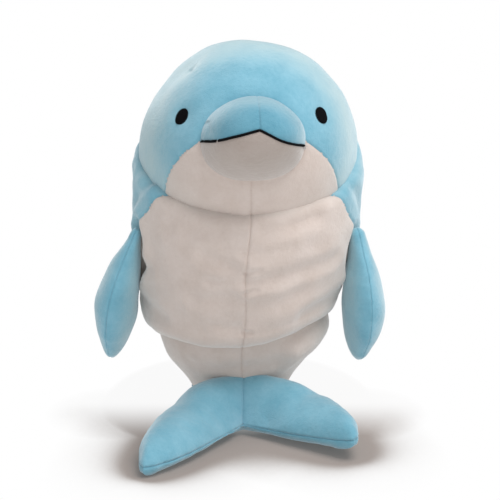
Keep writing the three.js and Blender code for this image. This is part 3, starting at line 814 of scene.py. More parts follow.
    def behind_side_seam(self, points: Points) -> Points:
        """How far each point lies behind the side seam, in which the flippers are sewn.

        Args:
            points: the points.

        Returns:
            The distances, negative in front of it.
        """
        top, root = self.head_centre.z, self.side_root
        seam = spline(
            [
                (self.lean - 86 * MM, top),
                (self.lean - 69 * MM, mix(root, top, 0.5)),
                (self.lean / 2 - 44 * MM, root),
                (self.lean, mix(self.waist_height, root, 0.5)),
                (self.lean, self.waist_height),
                (0.0, self.stock_height),
                (-11 * MM, 0.0),
            ],
            np.linspace(0, 1, 200),
        )
        order = np.argsort(seam[:, 1])
        at = np.interp(points[:, 2], seam[order, 1], seam[order, 0])
        return points[:, 1] - self.foot.y - at

    def relief(self, points: Points) -> Points:
        """The creases of the belly, and the unevenness of its stuffing.

        Args:
            points: the points.

        Returns:
            How far each stands out.
        """
        x, y, _ = self.section(points[:, 2])
        angle = np.arctan2(points[:, 0] - x, -(points[:, 1] - y))
        unrolled = np.stack([angle * self.shoulder[0], points[:, 2]], 1)
        out = 0.9 * MM * lumps(points, 60 * MM, 3) + 0.35 * MM * lumps(points, 22 * MM, 4)
        for crease in self.creases:
            route = np.array([(math.radians(a) * self.shoulder[0], z) for a, z in crease.route])
            away = np.full(len(points), np.inf)
            for start, end in zip(route[:-1], route[1:]):
                along = end - start
                t = np.clip(((unrolled - start) @ along) / (along @ along), 0, 1)
                gap = np.linalg.norm(unrolled - start - t[:, None] * along, axis=1)
                away = np.minimum(away, gap)
            out += crease.profile(away)
        return out * smooth(points[:, 2] / self.flat_under)

    def build(self, wardrobe: Wardrobe) -> None:
        """Makes the four panels and the stuffing.

        Args:
            wardrobe: the finishes.
        """
        bm = self.form()
        front = Seam(self.middle, lambda p: -self.behind_side_seam(p), 0.9 * MM, 2.0 * MM, shade=0.28)
        spine = Seam(self.middle, self.behind_side_seam, 2.0 * MM, 3.5 * MM)
        side = Seam(self.behind_side_seam, None, 1.4 * MM, 3.0 * MM, ribs=(0.0,), shade=0.3)
        # Painted sheen on the trunk's sides, and painted shade in its seams.
        middles = sew(bm, [side, front, spine], self.relief, frost=0.45)
        is_back = self.behind_side_seam(middles) > 0
        is_left = self.middle(middles) > 0
        belly, back = cut_pair("belly", Slot.CREAM, ~is_back, is_left), cut_pair("back", Slot.BLUE, is_back, is_left)
        wardrobe.dress_panels(bm, Body.TRUNK, [*belly, *back])
        unfolded = replace(self, lip_reach=1 * MM, rim_round=4 * MM, columns=150)
        held = (self.head_centre, self.head_radius + 2 * MM)
        filling("trunk", unfolded.form(), wardrobe, Body.TRUNK, spare=13 * MM, held=held)


def hollow_out(piece: bpy.types.Object, centre: Vector, radius: float) -> None:
    """Evens out a closed piece and cuts a ball out of it.

    Args:
        piece: the piece.
        centre: the ball's middle.
        radius: its radius.
    """
    bm = bmesh.new()
    bmesh.ops.create_uvsphere(bm, u_segments=96, v_segments=48, radius=radius, matrix=Matrix.Translation(centre))
    ball = to_object("held_ball", bm)
    even = piece.modifiers.new("even", "REMESH")
    even.mode, even.voxel_size, even.use_smooth_shade = "VOXEL", 4 * MM, True
    cut = piece.modifiers.new("hollow", "BOOLEAN")
    cut.operation, cut.solver, cut.object = "DIFFERENCE", "EXACT", ball
    whole = piece.data
    piece.data = bpy.data.meshes.new_from_object(piece.evaluated_get(bpy.context.evaluated_depsgraph_get()))
    piece.modifiers.clear()
    for spent in (whole, ball.data):
        bpy.data.meshes.remove(spent)


def filling(
    bag: str,
    bm: Form,
    wardrobe: Wardrobe,
    body: Body,
    spare: float = 4.5 * MM,
    held: tuple[Vector, float] | None = None,
) -> None:
    """The loose fibre inside a bag, which is its form drawn in, a little lumpy and coarse.

    Args:
        bag: what the piece's name and its CAD node's start with.
        bm: the bag's form, which is used up.
        wardrobe: the finishes.
        body: the body that it moves with.
        spare: how far it stays clear of the fabric, where that isn't creased.
        held: the middle and radius of a ball that lies in the filling, if one does.
    """
    bmesh.ops.holes_fill(bm, edges=[edge for edge in bm.edges if edge.is_boundary])
    bmesh.ops.recalc_face_normals(bm, faces=bm.faces)
    points, normals = read_points(bm), read_normals(bm)
    deep = STUFFING_DEPTH + spare + 1.2 * MM * lumps(points, 18 * MM, 11)
    write_points(bm, points - normals * deep[:, None])
    core = to_object(f"{bag}_filling", bm)
    if held is not None:
        hollow_out(core, *held)
    wardrobe.dress(core, body, Slot.FILLING, [f"{bag}_stuffing"])


# The head


@dataclass
class Head:
    """The round head with its snout, its embroidered eyes and its mouth line."""

    centre: Vector
    radius: float = 108 * MM
    tilt: float = math.radians(16)
    turn: float = math.radians(2.5)
    nape_seam: float = 30 * MM
    throat_width: float = 168 * MM
    throat_height: float = 118 * MM
    throat_drop: float = 50 * MM
    snout_width: float = 98 * MM
    snout_height: float = 80 * MM
    snout_reach: float = 44 * MM
    snout_fullness: float = 2.3
    snout_narrowing: float = 0.26
    snout_aside: float = 4 * MM
    chin_recede: float = 0.32
    snout_bed: float = 8 * MM
    mouth_right: Route = ((-0.056, 0.0004), (-0.040, -0.0042), (-0.017, -0.0018), (0.004, 0.0034))
    mouth_left: Route = ((0.004, 0.0034), (0.026, -0.0068), (0.037, -0.0086), (0.056, -0.0070))
    mouth_break: float = -34 * MM
    mouth_gap: float = 0.8 * MM
    mouth_thread: float = 2.8 * MM
    mouth_pitch: float = 0.62 * MM
    mouth_lean: float = 0.45
    eye_spread: float = 132 * MM
    eye_rise: float = 23 * MM
    eye_width: float = 12.6 * MM
    eye_length: float = 16.2 * MM
    eye_leans: tuple[float, float] = (math.radians(30), math.radians(18))
    eye_rows: int = 31
    eye_fullness: float = 2.3
    eye_sunk: float = 0.7 * MM
    eye_hollow: tuple[float, float] = (1.4 * MM, 12 * MM)
    throat_aside: float = -2 * MM
    corner: float = -41 * MM
    corner_height: float = 16 * MM
    corner_crease: tuple[float, float] = (0.8 * MM, 2.2 * MM)
    dents: tuple[tuple[Triple, float, float], ...] = (
        ((-0.062, -0.035, 0.081), 4.0 * MM, 26 * MM),
        ((-0.061, -0.050, 0.077), 2.2 * MM, 7 * MM),
        ((-0.080, -0.045, 0.055), 2.0 * MM, 24 * MM),
        ((-0.085, -0.015, 0.070), 3.6 * MM, 46 * MM),
        ((0.005, -0.020, 0.110), 2.5 * MM, 45 * MM),
        ((0.075, -0.015, 0.080), 1.8 * MM, 36 * MM),
    )
    matrix: Matrix = field(init=False)

    def __post_init__(self) -> None:
        """Works out where the face looks."""
        turned = Matrix.Rotation(self.turn, 4, "Z") @ Matrix.Rotation(-self.tilt, 4, "X")
        self.matrix = Matrix.Translation(self.centre) @ turned

    def snout_base(self) -> float:
        """How far in front of the head's middle the snout is widest."""
        return math.sqrt(self.radius**2 - (self.snout_width / 2) ** 2) - self.snout_bed

    def snout_sizes(self) -> Triple:
        """The snout's half width, reach and half height."""
        return self.snout_width / 2, self.radius + self.snout_reach - self.snout_base(), self.snout_height / 2

    def throat(self, points: Points) -> Points:
        """How far outside the throat patch each point lies, seen from the front.

        Args:
            points: the points.

        Returns:
            The distances, negative inside it.
        """
        wide, high = self.throat_width / 2, self.throat_height / 2
        x, z = points[:, 0] / wide, (points[:, 2] + self.throat_drop) / high
        away = (np.sqrt(x**2 + z**2 + 1e-12) - 1) * min(wide, high)
        return np.where(points[:, 1] < 0, away, 0.05)

    def shaped(self, dome: Points) -> Points:
        """The snout's points from those of an even dome: it narrows upwards, and the chin recedes.

        Args:
            dome: the points of the dome.

        Returns:
            The points of the snout.
        """
        _, reach, high = self.snout_sizes()
        rise, fall = np.clip(dome[:, 2] / high, 0, 1), np.clip(-dome[:, 2] / high, 0, 1)
        out = np.clip(-dome[:, 1] / reach, 0, 1)
        x = dome[:, 0] * (1 - self.snout_narrowing * rise**2) + self.snout_aside * smooth(out) * (1 - fall)
        y = dome[:, 1] * (1 - self.chin_recede * fall**1.5) - self.snout_base()
        return np.stack([x, y, dome[:, 2]], 1)

    def snout_edge(self, points: Points) -> Points:
        """How far outside the snout's foot each point lies, seen from the front.

        Args:
            points: the points.

        Returns:
            The distances, negative inside it.
        """
        wide, _, high = self.snout_sizes()
        p = self.snout_fullness
        narrow = 1 - self.snout_narrowing * np.clip(points[:, 2] / high, 0, 1) ** 2
        ring = (np.abs(points[:, 0] / (wide * narrow)) ** p + np.abs(points[:, 2] / high) ** p + 1e-12) ** (1 / p)
        return np.where(points[:, 1] < 0, (ring - 1) * high, 0.05)

    def mouth(self, x: Points) -> Points:
        """Height of the mouth line: it peaks at the nose seam."""
        sides = [through(stations, x)[:, 0] for stations in (self.mouth_right, self.mouth_left)]
        return np.where(x < self.mouth_left[0][0], *sides)

    def eye_centre(self, side: int) -> Points:
        """The middle of an eye on the head's ball."""
        x, z = side * self.eye_spread / 2, self.eye_rise
        return np.array([x, -math.sqrt(self.radius**2 - x**2 - z**2), z])

    def relief(self, points: Points) -> Points:
        """Uneven stuffing, the dent of the dart, and the hollows into which the eyes are drawn.

        Args:
            points: the points.

        Returns:
            How far each stands out.
        """
        out = 0.7 * MM * lumps(points, 70 * MM, 21) + 0.25 * MM * lumps(points, 25 * MM, 22)
        for place, depth, spread in self.dents:
            away = np.linalg.norm(points - np.array(place), axis=1)
            out -= depth * bell(away / spread)
        hollow, width = self.eye_hollow
        for side in (-1, 1):
            near = bell(np.linalg.norm(points - self.eye_centre(side), axis=1) / width)
            out = out * (1 - near) - hollow * near
        return out

    def build_ball(self, wardrobe: Wardrobe) -> None:
        """The five panels of the head's ball, and its stuffing.

        Args:
            wardrobe: the finishes.
        """
        bm = bmesh.new()
        bmesh.ops.create_icosphere(bm, subdivisions=7, radius=self.radius)
        crown_edge = Seam(self.throat, lambda p: -p[:, 1], 1.1 * MM, 2.4 * MM, ribs=(0.0,), shade=0.2)
        nape = Seam(lambda p: p[:, 1] - self.nape_seam, None, 1.8 * MM, 3.6 * MM)
        nape_middle = Seam(lambda p: p[:, 0], lambda p: p[:, 1] - self.nape_seam, 1.8 * MM, 3.6 * MM)
        throat_middle = Seam(
            lambda p: p[:, 0] - self.throat_aside,
            lambda p: np.minimum(-self.throat(p), -p[:, 1]),
            0.9 * MM,
            2.0 * MM,
            ribs=(0.0,),
            shade=0.25,
        )
        notch = np.array(self.dents[1][0])
        dart = Seam(
            lambda p: 0.8 * (p[:, 0] - notch[0]) + 0.6 * (p[:, 2] - notch[2]),
            lambda p: 7 * MM - np.linalg.norm(p - notch, axis=1),
            1.6 * MM,
            2.4 * MM,
            ribs=(),
            shade=0.7,
        )
        bed = Seam(self.snout_edge, lambda p: -p[:, 1], 1.0 * MM, 7 * MM, ribs=(), shade=0.0)
        # Painted sheen on the head where it turns from the front, and painted shade in its seams and dart.
        middles = sew(bm, [crown_edge, nape, nape_middle, throat_middle, dart, bed], self.relief, frost=1.0)
        is_nape = middles[:, 1] > self.nape_seam
        is_throat = (self.throat(middles) < 0) & ~is_nape
        is_left = middles[:, 0] > 0
        move(bm, self.matrix)
        cuts = [
            Cut("crown", "crown_panel", Slot.BLUE, ~is_nape & ~is_throat),
            *cut_pair("nape", Slot.BLUE, is_nape, is_left),
            *cut_pair("throat", Slot.CREAM, is_throat, middles[:, 0] > self.throat_aside),
        ]
        wardrobe.dress_panels(bm, Body.HEAD, cuts)
        core = bmesh.new()
        bmesh.ops.create_icosphere(core, subdivisions=5, radius=self.radius)
        move(core, self.matrix)
        filling("head", core, wardrobe, Body.HEAD, spare=12 * MM)

    def snout_form(self, fineness: int) -> Form:
        """The snout's dome in the head's frame, open towards the head.

        Args:
            fineness: how often its faces are divided.

        Returns:
            The form.
        """
        bm = bmesh.new()
        bmesh.ops.create_icosphere(bm, subdivisions=fineness, radius=1)
        way = read_points(bm)
        halves = np.array(self.snout_sizes())
        p = self.snout_fullness
        reach = (np.abs(way / halves) ** p).sum(1) ** (-1 / p)
        write_points(bm, self.shaped(way * reach[:, None]))
        back = -self.snout_base() + self.snout_bed + 6 * MM
        bmesh.ops.bisect_plane(
            bm,
            geom=[*bm.verts, *bm.edges, *bm.faces],
            plane_co=(0, back, 0),
            plane_no=(0, 1, 0),
            clear_outer=True,
        )
        return bm

    def build_snout(self, wardrobe: Wardrobe) -> None:
        """The two blue panels over the mouth, the chin and the snout's stuffing.

        Args:
            wardrobe: the finishes.
        """
        bm = self.snout_form(6)
        bmesh.ops.subdivide_edges(bm, edges=list(bm.edges), cuts=1, use_grid_fill=True)
        mouth = Seam(lambda p: p[:, 2] - self.mouth(p[:, 0]), None, 1.2 * MM, 4 * MM, ribs=(0.0,), shade=0.15)
        nose = Seam(
            lambda p: p[:, 0] - self.snout_aside,
            lambda p: p[:, 2] - self.mouth(p[:, 0]),
            0.7 * MM,
            1.8 * MM,
            ribs=(0.0,),
            shade=0.3,
        )

        def relief(points: Points) -> Points:
            """Uneven stuffing, and the crease beside the right corner of the mouth."""
            depth, width = self.corner_crease
            crease = (points[:, 0] - self.corner + 0.1 * points[:, 2]) / width
            above = smooth(points[:, 2] / (6 * MM)) * (points[:, 2] < self.corner_height)
            return 0.3 * MM * lumps(points, 30 * MM, 31) - depth * bell(crease) * above

        # Painted shade over the whole snout and chin, and painted sheen where they turn from the front.
        middles = sew(bm, [mouth, nose], relief, nap=1.0, frost=0.35)
        swell(bm, 0.8 * MM)
        upper = middles[:, 2] > self.mouth(middles[:, 0])
        left = middles[:, 0] > self.snout_aside
        move(bm, self.matrix)
        cuts = [*cut_pair("snout", Slot.BLUE, upper, left), Cut("chin", "chin_panel", Slot.CREAM, ~upper)]
        wardrobe.dress_panels(bm, Body.HEAD, cuts)
        core = self.snout_form(5)
        move(core, self.matrix)
        filling("snout", core, wardrobe, Body.HEAD)

    def on_snout(self, x: Points, z: Points, out: float) -> Points:
        """Points on the snout's front, out of it by a little, in the head's frame.

        Args:
            x: how far to the left they lie.
            z: how high they lie.
            out: how far they stand out.

        Returns:
            The points.
        """
        wide, reach, high = self.snout_sizes()
        p = self.snout_fullness

        def surface(x: Points, z: Points) -> Points:
            """The snout's surface at places seen from the front."""
            before = x.copy()
            for _ in range(6):
                left = 1 - np.abs(before / wide) ** p - np.abs(z / high) ** p
                dome = np.stack([before, -reach * np.clip(left, 0, 1) ** (1 / p), z], 1)
                made = self.shaped(dome)
                before += x - made[:, 0]
            return made

        step = 0.2 * MM
        middle = surface(x, z)
        across = surface(x + step, z) - surface(x - step, z)
        upwards = surface(x, z + step) - surface(x, z - step)
        normal = np.cross(across, upwards)
        normal /= np.linalg.norm(normal, axis=1)[:, None]
        return middle + out * normal

    def build_mouth(self, wardrobe: Wardrobe) -> None:
        """The mouth line: short satin stitches laid across it, side by side.

        Args:
            wardrobe: the finishes.
        """
        half = self.snout_width / 2 - 0.6 * MM
        bend = np.sin(np.linspace(-1, 1, 900) * math.pi / 2) * half
        line = self.on_snout(bend, self.mouth(bend), 0)
        travelled = np.concatenate([[0], np.cumsum(np.linalg.norm(np.diff(line, axis=0), axis=1))])
        stops = np.arange(int(travelled[-1] / self.mouth_pitch)) * self.mouth_pitch
        places = np.stack([np.interp(stops, travelled, line[:, k]) for k in range(3)], 1)
        ahead = np.gradient(places, axis=0)
        ahead /= np.linalg.norm(ahead, axis=1)[:, None]
        lifted = self.on_snout(places[:, 0], places[:, 2], 1.0)
        normal = lifted - self.on_snout(places[:, 0], places[:, 2], 0.0)
        across = np.cross(normal, ahead)
        across /= np.linalg.norm(across, axis=1)[:, None]
        satin = Stitching(0.45 * MM, 0.5 * MM, sunk=0.5 * MM)
        for i, place in enumerate(places):
            if abs(place[0] - self.mouth_break) < self.mouth_gap:
                continue
            reach = across[i] + self.mouth_lean * ahead[i]
            reach = reach / np.linalg.norm(reach) * self.mouth_thread / 2
            satin.add(place - reach, place + reach, normal[i])
        bm = satin.mesh()
        move(bm, self.matrix)
        wardrobe.dress(to_object("mouth_line", bm), Body.HEAD, Slot.THREAD, ["mouth_thread"])

    def build_eyes(self, wardrobe: Wardrobe) -> None:
        """Two leaning ovals of satin stitch.

        Args:
            wardrobe: the finishes.
        """
        power = self.eye_fullness
        for side, name, lean in zip((-1, 1), ("right", "left"), self.eye_leans):
            satin = Stitching(0.36 * MM, 0.95 * MM)
            across, upwards = math.cos(lean * side), math.sin(lean * side)
            for i in range(self.eye_rows):
                along = mix(-1, 1, (i + 0.5) / self.eye_rows)
                half = (1 - abs(along) ** power) ** (1 / power) * self.eye_width / 2
                level = along * self.eye_length / 2
                ends = []
                for reach in (-half, half):
                    x = side * self.eye_spread / 2 + reach * across - level * upwards
                    z = self.eye_rise + reach * upwards + level * across
                    y = -math.sqrt((self.radius - self.eye_sunk) ** 2 - x**2 - z**2)
                    ends.append(np.array([x, y, z]))
                middle = (ends[0] + ends[1]) / 2
                satin.add(*ends, middle / np.linalg.norm(middle))
            bm = satin.mesh()
            move(bm, self.matrix)
            wardrobe.dress(to_object(f"eye_stitches_{name}", bm), Body.HEAD, Slot.THREAD, [f"eye_{name}"])

    def build(self, wardrobe: Wardrobe) -> None:
        """Makes every piece of the head.

        Args:
            wardrobe: the finishes.
        """
        self.build_ball(wardrobe)
        self.build_snout(wardrobe)
        self.build_mouth(wardrobe)
        self.build_eyes(wardrobe)


@dataclass
class Stitching:
    """Stitches laid on the cloth, each a short thread from one needle hole to the other.

    Attributes:
        thick: half a thread's thickness.
        arch: how far a thread's middle stands out.
        sunk: how far its ends go into the cloth.
    """

    thick: float
    arch: float
    sunk: float = 0.3 * MM
    holes: list[tuple[Points, Points, Points]] = field(default_factory=list)

    def add(self, start: Points, end: Points, normal: Points) -> None:
        """Lays one stitch between two holes, where the way out of the cloth is the normal."""
        self.holes.append((start, end, normal))

    def mesh(self) -> Form:
        """All the stitches as one mesh.

        Returns:
            The mesh.
        """
        thread = bmesh.new()
        bmesh.ops.create_cone(thread, cap_ends=True, segments=6, radius1=1, radius2=1, depth=1)
        for level in (-0.42, -0.2, 0.0, 0.2, 0.42):
            geom = [*thread.verts, *thread.edges, *thread.faces]
            bmesh.ops.bisect_plane(thread, geom=geom, plane_co=(0, 0, level), plane_no=(0, 0, 1))
        unit = read_points(thread)
        template = bpy.data.meshes.new("thread")
        thread.to_mesh(template)
        thread.free()
        bm = bmesh.new()
        for _ in self.holes:
            bm.from_mesh(template)
        bpy.data.meshes.remove(template)
        share = (unit[:, 2] + 0.5)[:, None]
        bow = np.sin(math.pi * np.clip(share, 0, 1))
        taper = self.thick * (0.35 + 0.65 * np.sqrt(np.clip(bow, 0, 1)))
        points = []
        for start, end, normal in self.holes:
            side = np.cross(normal, end - start)
            side /= np.linalg.norm(side)
            rise = self.arch * bow - self.sunk * (1 - bow)
            place = start + (end - start) * share + normal * rise
            points.append(place + side * unit[:, :1] * taper + normal * unit[:, 1:2] * taper)
        write_points(bm, np.concatenate(points))
        return bm


# Flippers, fin and tail


@dataclass
class Flipper:
    """One fat leaf-shaped flipper that hangs from a narrow root in the side seam."""

    root: Vector
    side: int
    length: float = 140 * MM
    chord: float = 66 * MM
    thickness: float = 41 * MM
    root_size: float = 11 * MM
    full: float = 0.58
    curve: float = 8 * MM
    bow: float = 5 * MM
    splay: float = math.radians(8)
    slump: float = math.radians(5)
    turn: float = math.radians(12)
    tuck: tuple[float, float] = (5 * MM, 2 * MM)
    rows: int = 84
    columns: int = 92

    def matrix(self) -> Matrix:
        """The flipper's place and lean.

        Returns:
            Where the flipper's own frame is.
        """
        lean = Matrix.Rotation(self.slump - self.side * self.splay, 4, "Y")
        tucked = self.root - Vector((self.side * self.tuck[self.side > 0], 0, 0))
        return Matrix.Translation(tucked) @ lean @ Matrix.Rotation(self.side * self.turn, 4, "Z")

    def bowed(self, share: Points) -> Points:
        """How far the middle stands outwards at a share of the length."""
        return self.side * self.bow * np.sin(math.pi * np.clip(share, 0, 1))

    def place(self, along: Points, about: Points) -> Points:
        """Points of the flipper's skin, in its own frame.

        Args:
            along: the share of the way along it.
            about: the share of the way around it.

        Returns:
            The points.
        """
        share = (1 - np.cos(math.pi * along)) / 2
        around = gathered(about)
        rise = np.sin(ramp(0, self.full, share) * math.pi / 2) ** 1.4
        fall = np.clip(1 - ramp(self.full, 1 - self.full, share) ** 2, 0, 1) ** 0.65
        closed = circle(1 - ramp(0, 0.05, share))

        def size(full: float) -> Points:
            """Half the chord or thickness along the flipper."""
            return np.where(share < self.full, mix(self.root_size, full, rise) * closed, full * fall) / 2

        sharp = mix(1.0, 1.35, np.minimum(3 * share, 1))
        y = size(self.chord) * np.cos(around) + self.curve * share**2
        x = size(self.thickness) * lens(around, sharp) + self.bowed(share)
        return np.stack([x, y, -self.length * share], 1)

    def build(self, wardrobe: Wardrobe) -> None:
        """Makes the two panels and the stuffing.

        Args:
            wardrobe: the finishes.
        """
        name = "right" if self.side < 0 else "left"
        body = Body.FLIPPER_RIGHT if self.side < 0 else Body.FLIPPER_LEFT

        def between(points: Points) -> Points:
            """How far each point lies outside the flipper's bowed middle."""
            return self.side * (points[:, 0] - self.bowed(-points[:, 2] / self.length))

        def relief(points: Points) -> Points:
            """Uneven stuffing, and small puckers beside the seam."""
            seed = 41 if self.side < 0 else 42
            near = np.exp(-np.abs(between(points)) / (5 * MM))
            ripple = lumps(points * np.array([0.3, 0.3, 1.0]), 7 * MM, seed + 10)
            return 0.8 * MM * lumps(points, 30 * MM, seed) + 0.45 * MM * ripple * near

        bm = gridded(self.rows, self.columns, self.place)
        seam = Seam(between, None, 1.1 * MM, 2.4 * MM, ribs=(), shade=0.35)
        # Painted sheen on the flipper where it turns from the front.
        outer = between(sew(bm, [seam], relief, frost=0.5)) > 0
        swell(bm, 2.0 * MM)
        move(bm, self.matrix())
        cuts = [
            Cut(f"flipper_{name}_{layer}", f"flipper_{name}_{layer}_panel", Slot.BLUE, kept)
            for layer, kept in (("outer", outer), ("inner", ~outer))
        ]
        wardrobe.dress_panels(bm, body, cuts)
        core = gridded(self.rows // 3, self.columns // 3, self.place)
        move(core, self.matrix())
        filling(f"flipper_{name}", core, wardrobe, body)


@dataclass
class Fin:
    """The back fin, swept down towards the tail."""

    root: Vector
    along: Vector
    base: float = 84 * MM
    reach: float = 46 * MM
    tip: float = 7 * MM
    sweep: float = 34 * MM
    thickness: float = 22 * MM
    edge: float = 7 * MM
    root_size: float = 10 * MM
    full: float = 0.3
    rows: int = 44
    columns: int = 84

    def matrix(self) -> Matrix:
        """The fin's place: it stands out along its own Y, and its base lies along its own Z.

        Returns:
            Where the fin's own frame is.
        """
        z = self.along.normalized()
        y = Vector((0, z.z, -z.y)).normalized()
        x = y.cross(z)
        turned = Matrix((x, y, z)).transposed().to_4x4()
        return Matrix.Translation(self.root) @ turned

    def place(self, along: Points, about: Points) -> Points:
        """Points of the fin's skin, in its own frame.

        Args:
            along: the share of the way along it.
            about: the share of the way around it.

        Returns:
            The points.
        """
        root = self.root_size / 2
        y = mix(-root, self.reach, along)
        share = np.maximum(y, 0) / self.reach
        rise = np.sin(ramp(0, self.full, share) * math.pi / 2)
        fall = 1 - ramp(self.full, 1 - self.full, share) ** 1.6 * (1 - self.edge / self.thickness)
        thick = np.where(share < self.full, mix(self.root_size, self.thickness, rise), self.thickness * fall)
        heel = circle(np.minimum(y, 0) / root)
        end = circle(ramp(0.86, 0.14, share))
        half = mix(self.base / 2, self.tip, share**1.4) * mix(0.4, 1.0, end) * end**0.5 * mix(0.84, 1.0, heel)
        around = gathered(about)
        z = half * np.cos(around) - self.sweep * share**1.3
        return np.stack([thick / 2 * heel * end * lens(around, 1.2), y, z], 1)

    def build(self, wardrobe: Wardrobe) -> None:
        """Makes the two panels and the stuffing.

        Args:
            wardrobe: the finishes.
        """
        bm = gridded(self.rows, self.columns, self.place)

        def relief(points: Points) -> Points:
            """Uneven stuffing."""
            return 0.3 * MM * lumps(points, 26 * MM, 51)

        seam = Seam(lambda p: p[:, 0], None, 1.2 * MM, 2.4 * MM, ribs=(), shade=0.45)
        left = sew(bm, [seam], relief)[:, 0] > 0
        swell(bm, 1.5 * MM)
        move(bm, self.matrix())
        wardrobe.dress_panels(bm, Body.FIN, cut_pair("fin", Slot.BLUE, np.ones_like(left), left))
        smaller = {"base": 60 * MM, "reach": 36 * MM, "thickness": 12 * MM}
        inside = replace(self, **smaller, edge=4 * MM, tip=4 * MM, root_size=4 * MM)
        core = gridded(self.rows // 2, self.columns // 3, inside.place)
        move(core, self.matrix())
        filling("fin", core, wardrobe, Body.FIN, spare=-STUFFING_DEPTH)


@dataclass(frozen=True)
class Lobe:
    """The edges of one lobe of the tail from above, from its root to its tip, seen from the crease."""

    lead: Route
    trail: Route


@dataclass
class Tail:
    """Two broad lobes that lie forward on the floor. The left one's tip is curled up a little."""

    crease: Vector
    right: Lobe = Lobe(
        ((-0.057, 0.006), (-0.076, -0.013), (-0.088, -0.046), (-0.096, -0.088), (-0.097, -0.128)),
        ((-0.020, -0.061), (-0.038, -0.087), (-0.058, -0.112), (-0.077, -0.130), (-0.089, -0.139)),
    )
    left: Lobe = Lobe(
        ((0.060, 0.008), (0.084, -0.006), (0.098, -0.032), (0.107, -0.064), (0.110, -0.090)),
        ((0.022, -0.044), (0.042, -0.058), (0.063, -0.072), (0.083, -0.086), (0.101, -0.100)),
    )
    sunk: float = 29 * MM
    notch: float = 32 * MM
    seam: float = 11 * MM
    crown: float = 26 * MM
    lift: float = 12 * MM
    dimple: tuple[float, float] = (-2 * MM, -22 * MM)
    dimple_size: tuple[float, float] = (1.3 * MM, 13 * MM)
    rows: int = 190
    columns: int = 128

    def curl(self, x: Points) -> Points:
        """How far the tail is curled up, at a distance to its left."""
        return self.lift * np.clip(x / self.left.lead[-1][0], 0, None) ** 2

    def place(self, along: Points, about: Points) -> Points:
        """Points of the tail's skin, in its own frame, from tip to tip and around.

        Args:
            along: the share of the way along it.
            about: the share of the way around it.

        Returns:
            The points.
        """
        to_tip = 2 * along - 1
        to_tip = np.sign(to_tip) * np.abs(to_tip) ** 0.85
        share = np.abs(to_tip)
        lead, trail = (
            np.where(
                (to_tip < 0)[:, None],
                spline([(0, start), *getattr(self.right, name)], share),
                spline([(0, start), *getattr(self.left, name)], share),
            )
            for name, start in (("lead", self.sunk), ("trail", -self.notch))
        )
        closing = np.sqrt(1 - ramp(0.8, 0.2, share) ** 2.5)
        centre = (lead + trail) / 2
        start, end = (centre + (edge - centre) * mix(0.12, 1, closing)[:, None] for edge in (lead, trail))
        around = gathered(about)
        lobe = smooth((share - 0.1) / 0.3)
        across = ((1 - np.cos(around)) / 2) ** mix(1.6, 1.0, lobe)
        spot = start + (end - start) * across[:, None]
        full = np.abs(np.sin(around))
        crown = mix(self.crease.z - self.seam, self.crown, lobe) * np.sqrt(1 - 0.97 * share**3) * closing
        over = self.seam + crown * full ** mix(2.0, 1.25, lobe)
        under = self.seam - np.minimum(self.seam * 1.3 * full, self.seam) * closing
        z = np.where(np.sin(around) >= 0, over, under) + self.curl(spot[:, 0]) - self.crease.z
        return np.stack([spot[:, 0], spot[:, 1], z], 1)

    def build(self, wardrobe: Wardrobe) -> None:
        """Makes the two top panels, the underside and the stuffing.

        Args:
            wardrobe: the finishes.
        """
        bm = gridded(self.rows, self.columns, self.place)

        def level(points: Points) -> Points:
            """How far each point lies above the edge seam."""
            return points[:, 2] + self.crease.z - self.seam - self.curl(points[:, 0])

        def relief(points: Points) -> Points:
            """Uneven stuffing, less on the side that lies on the floor, and a dimple at the notch."""
            above = smooth((points[:, 2] + self.crease.z) / (8 * MM))
            depth, width = self.dimple_size
            away = np.linalg.norm(points[:, :2] - np.array(self.dimple), axis=1) / width
            uneven = 0.5 * MM * lumps(points, 40 * MM, 61) + 0.2 * MM * lumps(points, 15 * MM, 62)
            return above * (uneven - depth * bell(away))

        rim = Seam(level, None, 1.5 * MM, 3.0 * MM, ribs=(), shade=0.45)
        middle = Seam(lambda p: p[:, 0], level, 1.0 * MM, 2.4 * MM, ribs=(0.0,), shade=0.25)
        middles = sew(bm, [rim, middle], relief)
        swell(bm, 2.0 * MM)
        top, left = level(middles) > 0, middles[:, 0] > 0
        place = Matrix.Translation(self.crease)
        lying = placed(read_points(bm), place)
        lying[:, 2] = np.maximum(lying[:, 2], 0)
        write_points(bm, lying)
        underside = Cut("fluke_underside", "fluke_underside_panel", Slot.BLUE, ~top)
        wardrobe.dress_panels(bm, Body.TAIL, [*cut_pair("fluke", Slot.BLUE, top, left), underside])
        core = gridded(self.rows // 3, self.columns // 3, self.place)
        move(core, place)
        filling("fluke", core, wardrobe, Body.TAIL, spare=5 * MM)


# Finishes


@dataclass
class Graph:
    """A node tree, and short ways to fill it."""

    tree: bpy.types.NodeTree

    def feed(self, node: bpy.types.Node, inputs: dict) -> None:
        """Gives a node's inputs their values, or links them to the sockets that they come from.

        Args:
            node: the node.
            inputs: values or sockets, by the inputs' names or places.
        """
        for name, source in inputs.items():
            if isinstance(source, Socket):
                self.tree.links.new(source, node.inputs[name])
            else:
                node.inputs[name].default_value = source

    def add(self, kind: str, inputs: dict | None = None, **settings) -> bpy.types.Node:
        """A new node.

        Args:
            kind: its type.
            inputs: the values or sources of its inputs, by their names or places.
            **settings: its other settings.

        Returns:
            The node.
        """
        made = self.tree.nodes.new(kind)
        for name, value in settings.items():
            setattr(made, name, value)
        self.feed(made, inputs or {})
        return made

    def bump(self, height: Socket, distance: float, strength: float = 1.0) -> Socket:
        """Normals that follow a height."""
        inputs = {"Height": height, "Distance": distance, "Strength": strength}
        return self.add("ShaderNodeBump", inputs).outputs["Normal"]


def new_material(name: str) -> tuple[bpy.types.Material, Graph, bpy.types.Node]:
    """A material, with its node tree and its shader.

    Args:
        name: its name.

    Returns:
        The material, its tree and its shader.
    """
    made = bpy.data.materials.new(name)
    made.use_nodes = True
    return made, Graph(made.node_tree), made.node_tree.nodes["Principled BSDF"]


